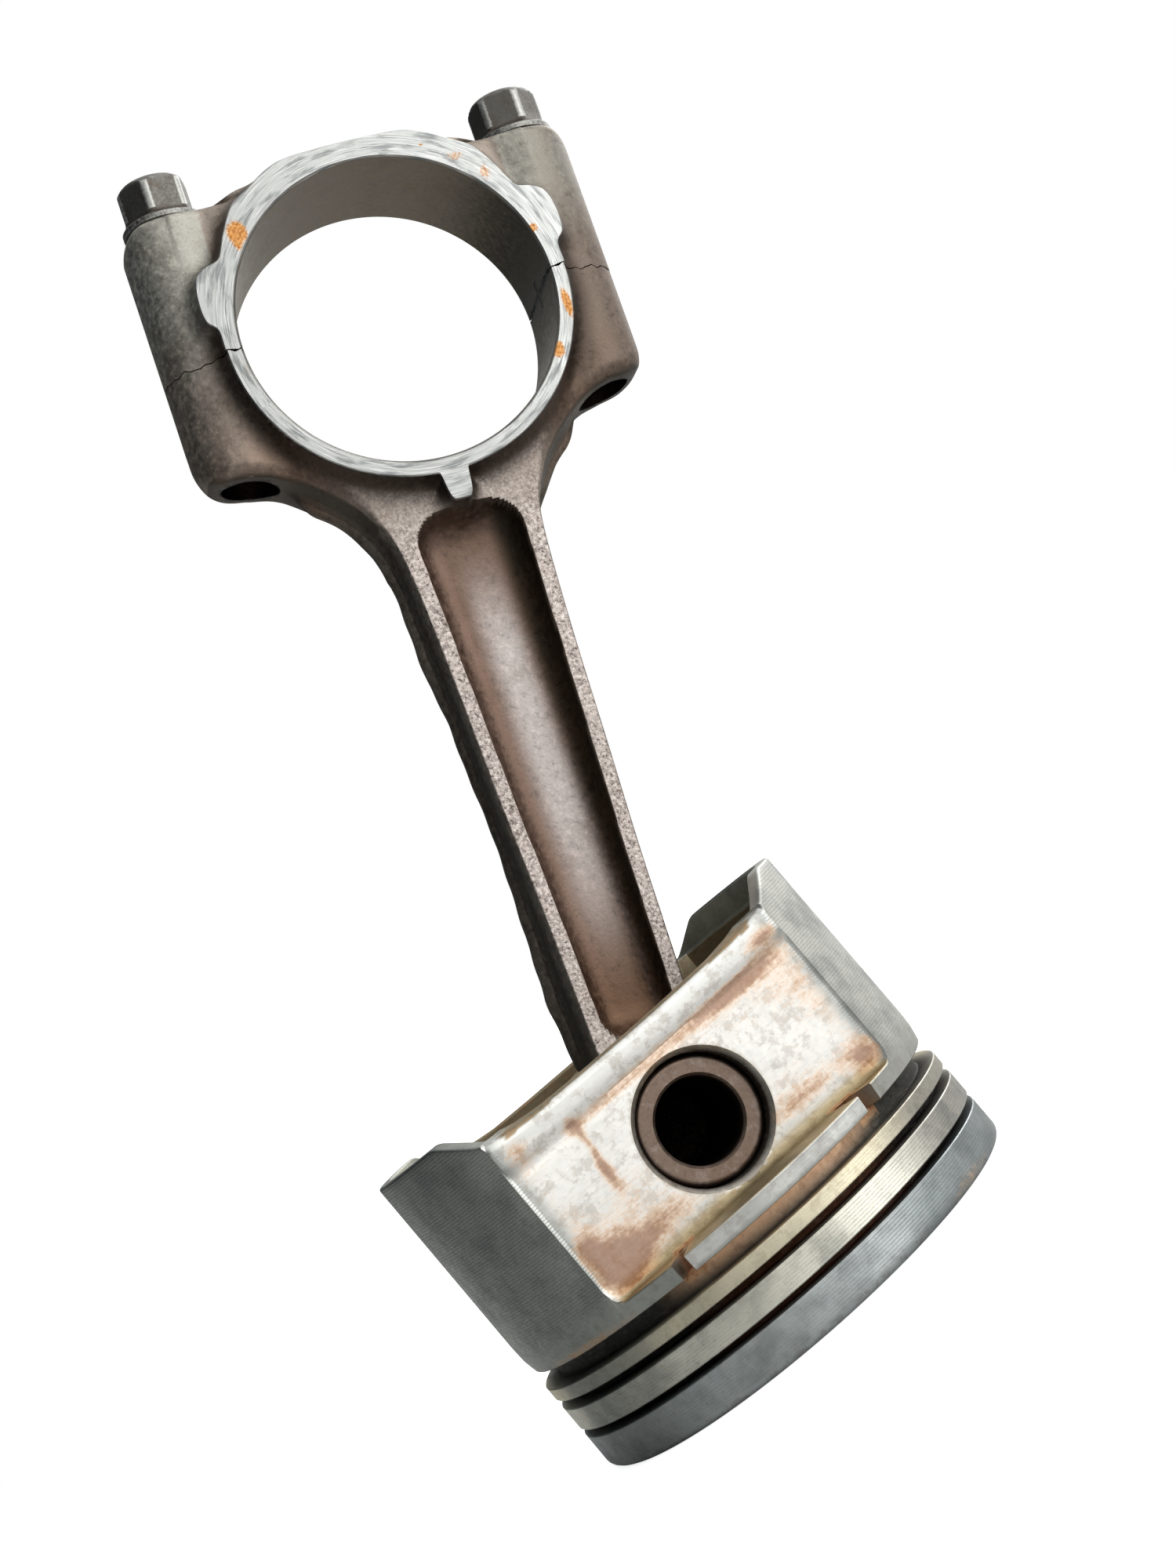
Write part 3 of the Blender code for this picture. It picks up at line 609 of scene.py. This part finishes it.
def plate(name, t, s, half, way, flash):
    """Closed plate over a grid (t, s) whose faces stand half in front of and behind its middle, and
    whose sides slope out to a seam that stands out by flash(t, s). Each row of the seam lies at a
    share of the half thickness and stands out by a share of the flash."""
    n = t.size
    front = in_rod(t, -half, crack(t, -half, s, way))
    rear = in_rod(t, half, crack(t, half, s, way))
    index = np.arange(n).reshape(t.shape)
    rim = np.hstack([index[0, :-1], index[:-1, -1], index[-1, :0:-1], index[:0:-1, 0]])
    rim_t, rim_s, rim_half = t.ravel()[rim], s.ravel()[rim], half.ravel()[rim]
    step_t, step_s = np.roll(rim_t, -1) - np.roll(rim_t, 1), np.roll(rim_s, -1) - np.roll(rim_s, 1)
    run = np.hypot(step_t, step_s) + 1e-9
    out = flash(rim_t, rim_s)
    bands, seam = [rim], []
    for number, (depth, share) in enumerate(SEAM_ROWS):
        row_t, row_s = rim_t + out * share * step_s / run, rim_s - out * share * step_t / run
        row_y = depth * rim_half
        seam.append(in_rod(row_t, row_y, crack(row_t, row_y, row_s, way)))
        bands.append(2 * n + number * len(rim) + np.arange(len(rim)))
    bands.append(rim + n)
    ring = np.stack([np.hstack([band, band[:1]]) for band in bands])
    faces = np.vstack([quads(index), quads(index)[:, ::-1] + n, quads(ring)])
    return solid(name, np.vstack([front.reshape(-1, 3), rear.reshape(-1, 3), *seam]), faces.tolist())


def face_ring(name, angle, outer, way):
    """Machined ring of the big end: a closed profile carried round the bore, whose outer radius
    changes with the angle."""
    edge, bevel = 0.4, 0.18
    face_r = BIG_R + edge + (outer - bevel - BIG_R - edge) * np.linspace(0.0, 1.0, 7)[:, None]
    r_half = [*face_r, outer, outer, outer]
    y_half = [-BIG_HALF] * 7 + [bevel - BIG_HALF, -6.0, 0.0]
    bore_y = np.linspace(BIG_HALF - edge, edge - BIG_HALF, 15)
    r = np.stack(r_half + r_half[-2::-1] + [np.full(outer.shape, BIG_R)] * len(bore_y))
    y = np.hstack([y_half, np.negative(y_half[-2::-1]), bore_y])[:, None]
    t, s = r * np.cos(angle), BIG_S + r * np.sin(angle)
    return loop_round(name, in_rod(t, y, crack(t, y, s, way)))


def bolt_bore(name, side, low, high):
    """A straight hole for a bolt's shank."""
    turn = np.linspace(0.0, 2.0 * np.pi, 48, endpoint=False)
    r, s = np.array([(0.0, low), (HOLE_R, low), (HOLE_R, high), (0.0, high)]).T[:, :, None]
    return turned(name, in_rod(side * COLUMN_T + r * np.cos(turn), r * np.sin(turn), s))


def across_rod(name, radius, s):
    """A bar along Y at a distance s up the rod, for cutting a round hole."""
    turn = np.linspace(0.0, 2.0 * np.pi, 192, endpoint=False)
    r, y = np.array([(0.0, -30.0), (radius, -30.0), (radius, 30.0), (0.0, 30.0)]).T[:, :, None]
    return turned(name, in_rod(r * np.cos(turn), y, s + r * np.sin(turn)))


def spread(columns):
    """Shares from -1 to 1: half even steps and half a sine, so they are closer at the two edges."""
    b = np.linspace(-1.0, 1.0, columns)
    return 0.5 * b + 0.5 * np.sin(0.5 * np.pi * b)


def beam_half(s):
    """Half thickness of the beam: even, and swelling smoothly towards the eye."""
    return BEAM_HALF + 1.5 * (1.0 - ease(s, 16.0, 58.0))


def recess_share(t, s):
    """How deep the beam's trough is, from 0 to 1: a quarter of a superellipse over the distance in
    from its outline, which is a long tapered slot with round corners."""
    past_t = np.abs(t) - (np.interp(s, RECESS_S, RECESS_W) - RECESS_CORNER)
    past_s = np.abs(s - RECESS_MID) - (RECESS_HALF - RECESS_CORNER)
    inward = RECESS_CORNER - np.minimum(np.maximum(past_t, past_s), 0.0)
    inward = inward - np.hypot(np.maximum(past_t, 0.0), np.maximum(past_s, 0.0))
    q = np.clip(inward / RECESS_SLOPE, 0.0, 1.0)
    return (1.0 - (1.0 - q) ** RECESS_BEND) ** (1.0 / RECESS_BEND)


def with_columns(side, web):
    """Half thickness of the web with a round bolt column fused to it, and the column alone outside."""
    column = np.sqrt(np.clip(COLUMN_R ** 2 - (side - COLUMN_T) ** 2, 0.09, None))
    return soft_max(np.where(side > COLUMN_T, 0.0, web), column, 2.4)


def rod_half(t, s, edge):
    """Half thickness of the rod's forging: the beam with its trough, the plate that dips beside the
    ring, the round columns, and fillets up to the ring, its tongue and the eye."""
    side = np.abs(t)
    web = beam_half(s) - 2.2 * ease(side, 14.0, 20.0) * ease(s, 117.0, 127.0)
    half = np.where(side > 16.0, with_columns(side, web), web) - RECESS_DEPTH * recess_share(t, s)
    half = round_off(half, off_line(side, s, edge), 0.45 + 2.1 * ease(s, 104.0, 116.0))
    tongue = np.hypot(t, s - np.clip(s, TONGUE_LOW, TONGUE_HIGH)) - TONGUE_R
    out = np.minimum(np.hypot(t, s - BIG_S) - RING_R, tongue)
    half = half + (FILLET_TOP - half) * np.exp(-np.clip(out, 0.0, None) / 1.15)
    eye = np.exp(-np.clip(np.hypot(t, s) - EYE_R, 0.0, None) / 1.6)
    return half + (FILLET_TOP - half) * eye


# Every second row of the outline is enough along the straight beam.
BEAM_ROWS = 184
edge = flow(ROD_EDGE, 0.5)
edge = np.vstack([edge[:BEAM_ROWS:2], edge[BEAM_ROWS:]])
t = edge[:, :1] * spread(156)
s = edge[:, 1:] + 0.0 * t
rod = plate("rod_forging", t, s, rod_half(t, s, edge), -1, flash_line)
turn = np.radians(np.hstack([np.linspace(180.0, 262.0, 100), np.linspace(262.5, 277.5, 46),
                             np.linspace(278.0, 360.0, 100)]))
outer = RING_R + 4.9 * np.exp(-np.abs(31.5 * np.cos(turn) / 2.2) ** 7)
ring = face_ring("ring_lower", turn, outer, -1)
eye_line = [(0.0, -BIG_HALF), (EYE_R - 0.5, -BIG_HALF), (EYE_R, -BIG_HALF + 0.5)]
eye = along_y("eye", eye_line + [(r, -y) for r, y in reversed(eye_line)], 128)
machine(rod, take=[across_rod("ring_seat", RING_SEAT_R, BIG_S)])
machine(rod, add=[ring, eye], take=[across_rod("eye_bore", PIN_R + 0.02, 0.0),
                                    bolt_bore("hole_left", -1, 110.0, 150.0),
                                    bolt_bore("hole_right", 1, 110.0, 150.0)])


def forging_paint(obj, dabs):
    """Colour a forging: brown skin, bright speckled flange faces, machined ring, bored hole and orange dabs,
    with painted shade round the ring and the tongue, on the flanks, on the right side, on the trough's right
    wall and in the bolt holes, painted sheen on the columns and a painted highlight along the trough. The
    machined faces take the second material."""
    t, y, s = from_rod(obj)
    side, out = np.abs(t), np.hypot(t, s - BIG_S)
    normal = np.empty(len(t) * 3)
    obj.data.vertices.foreach_get("normal", normal)
    facing = np.abs(normal.reshape(-1, 3)[:, 1])
    faced = np.abs(y) > BIG_HALF - 0.25
    bored = (out < BIG_R + 0.3) & (s > 100.0)
    in_beam = (s > 15.0) & (s < 106.7) & (np.abs(y) < beam_half(s) - 0.3)
    trough = in_beam & (side < np.interp(s, RECESS_S, RECESS_W))
    land = (np.abs(y) > BEAM_HALF - 0.5) * ease(facing, 0.75, 0.96) * (1.0 - 0.8 * ease(s, 97.0, 112.0))
    land = land * ~faced * (side < 20.0) * ~trough
    flank = (1.0 - ease(facing, 0.3, 0.8)) * (s < 123.0) * (np.abs(y) < 7.4) * (side > 8.0)
    pale = 1.0 - ease(np.abs(t - 0.9 + 0.012 * (s - 60.0)), 0.8, 5.2)
    pale = pale * ease(s, 20.0, 56.0) * (1.0 - ease(s, 82.0, 102.0))

    tone = np.tile(srgb(142, 132, 123), (len(t), 1))
    tone = lay(tone, (138, 114, 98), 0.8 * spot(side, s, 24.0, 120.0, 7.0, 7.0))
    # Painted sheen: the columns lighter grey towards the cap.
    tone = lay(tone, (166, 166, 158), 0.75 * ease(s, 132.0, 156.0) * (side > 26.0))
    # Painted shade: the right side darker, on the columns and the flare.
    tone = lay(tone, (118, 113, 105), 0.8 * ease(t, 24.0, 34.0) * ease(s, 146.0, 156.0))
    tone = lay(tone, (96, 82, 72), 0.75 * ease(t, 18.0, 34.0) * (1.0 - ease(s, 146.0, 160.0)))
    # Painted shadow in a band round the machined ring.
    tone = lay(tone, (56, 46, 40), 0.85 * (1.0 - ease(out, 30.0, 34.5)) * (s > 100.0))
    # Painted shadow round the tongue above the trough.
    tone = lay(tone, (56, 46, 40), 0.8 * (1.0 - ease(np.hypot(t, s - 111.0), 3.2, 6.5)))
    # Painted shade on the flanks, the sides that face across the rod.
    tone = lay(tone, (60, 56, 48), 0.85 * flank)
    tone = lay(tone, (116, 94, 82), 0.9 * trough)
    # Painted highlight: a pale streak along the middle of the trough.
    tone = lay(tone, (186, 178, 174), 0.95 * pale * trough)
    tone = lay(tone, (104, 78, 56), 0.6 * trough * (1.0 - ease(s, 20.0, 40.0)) * (t < 4.0))
    # Painted shade on the right wall of the trough.
    tone = lay(tone, (48, 44, 36), 0.9 * trough * ease(t, 3.2, 6.4))
    tone = lay(tone, (176, 166, 160), 0.9 * land)
    tone = lay(tone, (172, 173, 171), faced)
    tone = lay(tone, (112, 102, 88), bored)
    tone = lay(tone, (10, 9, 8), bored * (1.0 - ease(np.abs(s - BIG_S), 0.35, 0.8)))
    # Painted shade: the bolt holes near black inside.
    tone = lay(tone, (18, 16, 14), (np.hypot(side - COLUMN_T, y) < HOLE_R + 0.15) * (s > 110.0) * (s < 160.0))
    stain = dabbed(t, s, dabs) * (y < 0.0) * faced
    rough = np.where(faced, 0.36, np.where(bored, 0.42, 0.55))
    paint(obj, tone, (np.clip(stain, 0, 1), np.clip(land, 0, 1), rough))
    centre = np.empty(len(obj.data.polygons) * 3)
    obj.data.polygons.foreach_get("center", centre)
    on_face = np.abs(centre.reshape(-1, 3)[:, 1]) / MM > BIG_HALF - 0.3
    obj.data.polygons.foreach_set("material_index", on_face.astype(np.int32))


def forged_skin():
    """Shot-blasted forging: dark brown scale, lighter worn grains, pitted bright flange faces."""
    mat, tree, shader, where, tone, marks = begin("forged_skin")
    cloud = noise(tree, where, 0.13, 4.0, 0.6)
    grain = noise(tree, where, 0.9, 5.0, 0.7)
    pits = noise(tree, where, 1.9, 5.0, 0.72)
    colour = over(tree, level(tree, cloud, 0.45, 0.7, 0.0, 0.3), tone, swatch(92, 72, 58))
    worn = wire(tree, "VectorMath", {0: tone, "Scale": 1.7}, operation="SCALE")["Vector"]
    scale = wire(tree, "VectorMath", {0: tone, "Scale": 0.4}, operation="SCALE")["Vector"]
    colour = over(tree, level(tree, grain, 0.5, 0.66, 0.0, 0.6), colour, worn)
    colour = over(tree, level(tree, grain, 0.5, 0.32, 0.0, 0.6), colour, scale)
    spark = combine(tree, "MULTIPLY", level(tree, pits, 0.48, 0.62, 0.0, 0.8), marks[1])
    dark = combine(tree, "MULTIPLY", level(tree, pits, 0.46, 0.36, 0.0, 0.85), marks[1])
    colour = over(tree, spark, colour, swatch(224, 214, 208))
    colour = over(tree, dark, colour, swatch(74, 64, 58))
    rough = combine(tree, "ADD", marks[2], level(tree, grain, 0.35, 0.7, -0.08, 0.12))
    height = combine(tree, "ADD", combine(tree, "MULTIPLY", grain, 0.7),
                     combine(tree, "MULTIPLY", pits, combine(tree, "ADD", marks[1], 0.4)))
    finish(tree, shader, colour, rough, height, 0.09)
    return mat


def faced_steel():
    """Face ground round the bore: short bright arcs, grey drag marks and a few orange dabs."""
    mat, tree, shader, where, tone, marks = begin("faced_steel")
    centre = (-BIG_S * math.sin(LEAN), 0.0, -PIN_Z - BIG_S * math.cos(LEAN))
    around = wire(tree, "Mapping", {"Vector": where, "Scale": (1.0, 0.0, 1.0), "Location": centre})[0]
    out = wire(tree, "VectorMath", {0: around}, operation="LENGTH")["Value"]
    ax, _, az = wire(tree, "SeparateXYZ", {0: around})
    bearing = combine(tree, "ARCTAN2", az, ax)

    def round_bore(per_mm, per_radian):
        """Distance from the bore's axis and bearing round it, each at its own scale."""
        return wire(tree, "CombineXYZ", {0: combine(tree, "MULTIPLY", out, per_mm),
                                         1: combine(tree, "MULTIPLY", bearing, per_radian)})[0]

    arcs = noise(tree, round_bore(5.5, 3.6), 1.0, 4.0, 0.6)
    band = noise(tree, round_bore(0.9, 5.0), 1.0, 3.0, 0.5)
    fine = noise(tree, where, 2.0, 4.0, 0.6)
    colour = over(tree, level(tree, arcs, 0.48, 0.68, 0.0, 0.65), tone, swatch(112, 112, 108))
    colour = over(tree, level(tree, band, 0.48, 0.66, 0.0, 0.75), colour, swatch(104, 108, 108))
    colour = over(tree, level(tree, arcs, 0.44, 0.3, 0.0, 0.8), colour, swatch(222, 222, 222))
    orange = over(tree, level(tree, fine, 0.4, 0.65), swatch(222, 164, 92), swatch(176, 112, 44))
    broken = combine(tree, "ADD", marks[0], combine(tree, "MULTIPLY_ADD", fine, 0.7, -0.35))
    broken = combine(tree, "MULTIPLY", broken, level(tree, marks[0], 0.04, 0.25))
    dab = level(tree, broken, 0.32, 0.62, 0.0, 0.9)
    colour = over(tree, dab, colour, orange)
    rough = combine(tree, "ADD", marks[2], level(tree, arcs, 0.3, 0.7, -0.06, 0.12))
    rough = combine(tree, "ADD", rough, combine(tree, "MULTIPLY", dab, 0.3))
    height = combine(tree, "ADD", arcs, combine(tree, "MULTIPLY", fine, 0.3))
    finish(tree, shader, colour, rough, height, 0.02)
    return mat


forging_paint(rod, ((0.9, 27.4, 134.3, 0.6, 2.2), (0.9, 23.2, 127.0, 1.0, 1.3),
                    (0.4, -27.0, 137.0, 0.5, 1.5)))
forged, faced = forged_skin(), faced_steel()
fit(rod, "connecting_rod", "forged_steel", "rod", forged, faced)

# ---------------------------------------------------------------- rod cap
# The other half of the cracked big end: an arch with two small lugs on its machined face, and the
# two bolt columns that end in flat seats.
SEAT_S = 168.0
CAP_EDGE_T = 39.6
CORNER = 4.4
CAP_FACE = ((29.4, 140.0), (29.4, 141.7), (29.5, 145.0), (31.0, 147.0), (31.1, 151.0), (30.3, 154.2),
            (28.5, 155.7), (26.0, 156.5), (24.8, 158.5), (23.6, 161.0), (21.0, 165.0), (17.5, 167.3),
            (13.5, 169.7), (10.0, 170.8), (5.0, 171.1), (0.0, 171.2))


def cap_half(t, s, edge, face):
    """Half thickness of the cap's forging: two columns, the web between them and the fillet up to
    the machined face."""
    side = np.abs(t)
    half = with_columns(side, 6.6 + 1.0 * ease(s, 158.0, 167.0))
    half = round_off(half, off_line(side, s, edge), 1.3)
    inside = np.hypot(side, s - BIG_S) < np.interp(np.arctan2(s - BIG_S, side), *face)
    lift = np.where(inside, 1.0, np.exp(-off_line(side, s, flow(CAP_FACE, 1.0)) / 0.9))
    return half + (FILLET_TOP - half) * lift


def no_flash(t, s):
    """The cap's seam is ground off, so its sides are straight."""
    return 0.0 * t


face_line = flow(CAP_FACE, 0.4)
bearing = np.arctan2(face_line[:, 1] - BIG_S, face_line[:, 0])
reach = np.hypot(face_line[:, 0], face_line[:, 1] - BIG_S)
bend = np.radians(np.linspace(0.0, 90.0, 15))
side_s = np.hstack([np.linspace(BIG_S, SEAT_S - CORNER, 48)[:-1], SEAT_S - CORNER + CORNER * np.sin(bend)])
side_t = np.hstack([np.full(47, CAP_EDGE_T), CAP_EDGE_T - CORNER + CORNER * np.cos(bend)])
edge = np.stack([side_t, side_s], -1)
t = side_t[:, None] * spread(170)
s = side_s[:, None] + 1.2 * ease(side_s, 158.0, SEAT_S)[:, None] * (1.0 - ease(np.abs(t), 18.0, 23.5))
half = cap_half(t, s, np.vstack([edge, (0.0, SEAT_S)]), (bearing, reach))
cap = plate("cap_forging", t, s, half, 1, no_flash)
turn = np.radians(np.linspace(0.0, 180.0, 260))
outer = np.interp(np.arctan2(np.sin(turn), np.abs(np.cos(turn))), bearing, reach)
ring = face_ring("ring_upper", turn, outer, 1)
machine(cap, take=[across_rod("cap_seat", RING_SEAT_R, BIG_S)])
machine(cap, add=[ring], take=[bolt_bore("cap_hole_left", -1, 130.0, 180.0),
                               bolt_bore("cap_hole_right", 1, 130.0, 180.0)])
forging_paint(cap, ((1.0, -21.5, 160.2, 1.3, 1.6), (0.75, 26.2, 148.4, 0.7, 0.8),
                    (0.5, 17.6, 164.0, 1.6, 1.0), (0.5, 21.5, 160.0, 1.2, 1.6),
                    (0.6, 12.6, 167.3, 0.4, 0.4), (0.4, -22.0, 157.6, 0.4, 0.8)))
fit(cap, "rod_cap", "forged_steel", "rod", forged, faced)

# ---------------------------------------------------------------- rod bolts
# Two flanged hex bolts, dark oiled steel, screwed through the cap's seats into the rod's columns.
# The hexagon is forged with a domed, chamfered top and its corners are rubbed bright.
HEX_FLATS, HEAD_TOP, FLANGE_R, FLANGE_T = 11.0, 176.9, 6.9, 1.6
SEATED = SEAT_S + 0.3
BOLT_END = 125.0


def bolt(name, side, turned_by):
    """Revolved bolt whose head is the lesser of a hexagon with softened corners and a chamfer."""
    turn = np.linspace(0.0, 2.0 * np.pi, 180, endpoint=False)
    off = np.abs(np.mod(turn - turned_by, np.pi / 3) - np.pi / 6)
    hexagon = np.minimum(0.5 * HEX_FLATS / np.cos(np.pi / 6 - off),
                         0.5 * HEX_FLATS / math.cos(math.radians(27.0)))
    rows = [(r, HEAD_TOP) for r in (0.0, 2.0, 4.0)]
    for down in (0.05, 0.18, 0.4, 0.75, 1.15, 1.6, 2.1, 3.5, 5.0, 6.2):
        dome = 4.55 + 1.9 * math.sqrt(min(down, 1.9) / 1.9)
        rows.append((np.minimum(hexagon, dome), HEAD_TOP - down))
    base = SEATED + FLANGE_T
    rows += [(hexagon + 0.12, base + 0.15), (np.maximum(hexagon + 0.3, 6.3), base - 0.1),
             (FLANGE_R - 0.18, base - 0.35), (FLANGE_R, base - 0.6), (FLANGE_R, SEATED + 0.2),
             (FLANGE_R - 0.2, SEATED), (SHANK_R, SEATED), (SHANK_R, BOLT_END + 0.8),
             (SHANK_R - 0.8, BOLT_END), (0.0, BOLT_END)]
    r = np.stack([np.broadcast_to(row[0], turn.shape) for row in rows])
    s = np.array([row[1] for row in rows])[:, None]
    return turned(name, in_rod(side * COLUMN_T + r * np.cos(turn), r * np.sin(turn), s))


def bolt_finish():
    """Dark bolt steel with a satin film, bright rubbed corners and a darker band at the flange's root."""
    mat, tree, shader, where, tone, marks = begin("bolt_steel_finish")
    cloud = noise(tree, where, 0.35, 4.0, 0.6)
    fine = noise(tree, where, 2.4, 4.0, 0.7)
    colour = over(tree, level(tree, cloud, 0.45, 0.7, 0.0, 0.5), tone, swatch(70, 60, 54))
    rubbed = combine(tree, "ADD", marks[1], combine(tree, "MULTIPLY_ADD", fine, 0.8, -0.4))
    colour = over(tree, level(tree, rubbed, 0.45, 0.8, 0.0, 0.9), colour, swatch(176, 176, 172))
    rough = combine(tree, "ADD", marks[2], level(tree, fine, 0.35, 0.7, -0.06, 0.1))
    finish(tree, shader, colour, rough, fine, 0.02)
    return mat


rubbed_steel = bolt_finish()
for name, side in (("rod_bolt_left", -1), ("rod_bolt_right", 1)):
    turned_by = math.radians(14.0 * side)
    piece = bolt(name + "_screw", side, turned_by)
    t, y, s = from_rod(piece)
    out = np.hypot(t - side * COLUMN_T, y)
    corner = ease(out, 5.75, 6.1) * (s > 170.2)
    rim = ease(out, 6.6, 6.85) * (s > 168.2)
    tone = np.tile(srgb(92, 90, 86), (len(t), 1))
    tone = lay(tone, (108, 107, 104), s > 176.0)
    # A darker band where the hexagon meets the flange.
    tone = lay(tone, (58, 48, 42), 0.8 * (s > 169.4) * (s < 170.4) * (out < 6.6))
    paint(piece, tone, (0 * t, np.clip(0.75 * corner + 0.6 * rim, 0, 1), np.full(len(t), 0.48)))
    fit(piece, name, "bolt_steel", "rod", rubbed_steel, crease=24.0)

# ---------------------------------------------------------------- floor, light and camera
# A plain white floor in a pale room that is brighter on one side, with two large soft lights on
# that side, one in front and one behind.
FLOOR_HALF, FLOOR_Z = 4000.0, -0.05


def studio():
    """Floor and room: plain white to the camera, and a softer gradient to everything else."""
    corners = [(FLOOR_HALF * x, FLOOR_HALF * y, FLOOR_Z) for x, y in ((-1, -1), (1, -1), (1, 1), (-1, 1))]
    floor = solid("floor", np.array(corners), [[0, 1, 2, 3]])
    mat = bpy.data.materials.new("studio_floor")
    mat.use_nodes = True
    tree = mat.node_tree
    shader = tree.nodes["Principled BSDF"]
    shader.inputs["Roughness"].default_value = 0.9
    shader.inputs["Specular IOR Level"].default_value = 0.0
    shader.inputs["Emission Color"].default_value = (1.0, 1.0, 1.0, 1.0)
    seen = wire(tree, "LightPath")["Is Camera Ray"]
    tree.links.new(combine(tree, "MULTIPLY", seen, 0.85), shader.inputs["Emission Strength"])
    pale = over(tree, seen, (0.6, 0.6, 0.6, 1.0), (0.9, 0.9, 0.9, 1.0))
    tree.links.new(pale, shader.inputs["Base Color"])
    floor.data.materials.append(mat)

    world = bpy.data.worlds.new("studio_room")
    bpy.context.scene.world = world
    world.use_nodes = True
    tree = world.node_tree
    tree.nodes.clear()
    side = wire(tree, "VectorMath", {0: wire(tree, "TexCoord")["Generated"], 1: (0.95, -0.3, 0.08)},
                operation="DOT_PRODUCT")["Value"]
    room = over(tree, level(tree, side, -0.5, 0.64), (0.05, 0.058, 0.06, 1.0), (1.0, 1.0, 0.985, 1.0))
    lit = wire(tree, "Background", {"Color": room, "Strength": 1.5})[0]
    plain = wire(tree, "Background", {"Color": (1.0, 1.0, 1.0, 1.0), "Strength": 1.0})[0]
    mixed = wire(tree, "MixShader", {0: wire(tree, "LightPath")["Is Camera Ray"], 1: lit, 2: plain})[0]
    wire(tree, "OutputWorld", {0: mixed})


def softbox(name, place, aim, size, watts):
    """A square soft light at a place, turned to face a point, both in metres."""
    lamp = bpy.data.lights.new(name, "AREA")
    lamp.shape = "SQUARE"
    lamp.size = size
    lamp.energy = watts
    obj = bpy.data.objects.new(name, lamp)
    bpy.context.scene.collection.objects.link(obj)
    obj.location = place
    obj.rotation_euler = (Vector(aim) - Vector(place)).to_track_quat("-Z", "Y").to_euler()


studio()
softbox("softbox_key", (0.75, -0.75, 0.30), (0.0, 0.0, 0.06), 0.6, 4.0)
softbox("softbox_side", (0.9, 0.45, 0.5), (0.0, 0.0, 0.06), 0.6, 4.0)

eye_point = bpy.data.cameras.new("camera")
eye_point.sensor_fit = "HORIZONTAL"
eye_point.sensor_width = 36.0
eye_point.lens = 73.862
eye_point.clip_start = 0.01
camera = bpy.data.objects.new("camera", eye_point)
bpy.context.scene.collection.objects.link(camera)
camera.location = (-0.07197, -0.38507, 0.06606)
camera.rotation_euler = tuple(math.radians(v) for v in (93.5856, 40.5233, -12.1739))
bpy.context.scene.camera = camera
bpy.context.scene.view_settings.view_transform = "Standard"
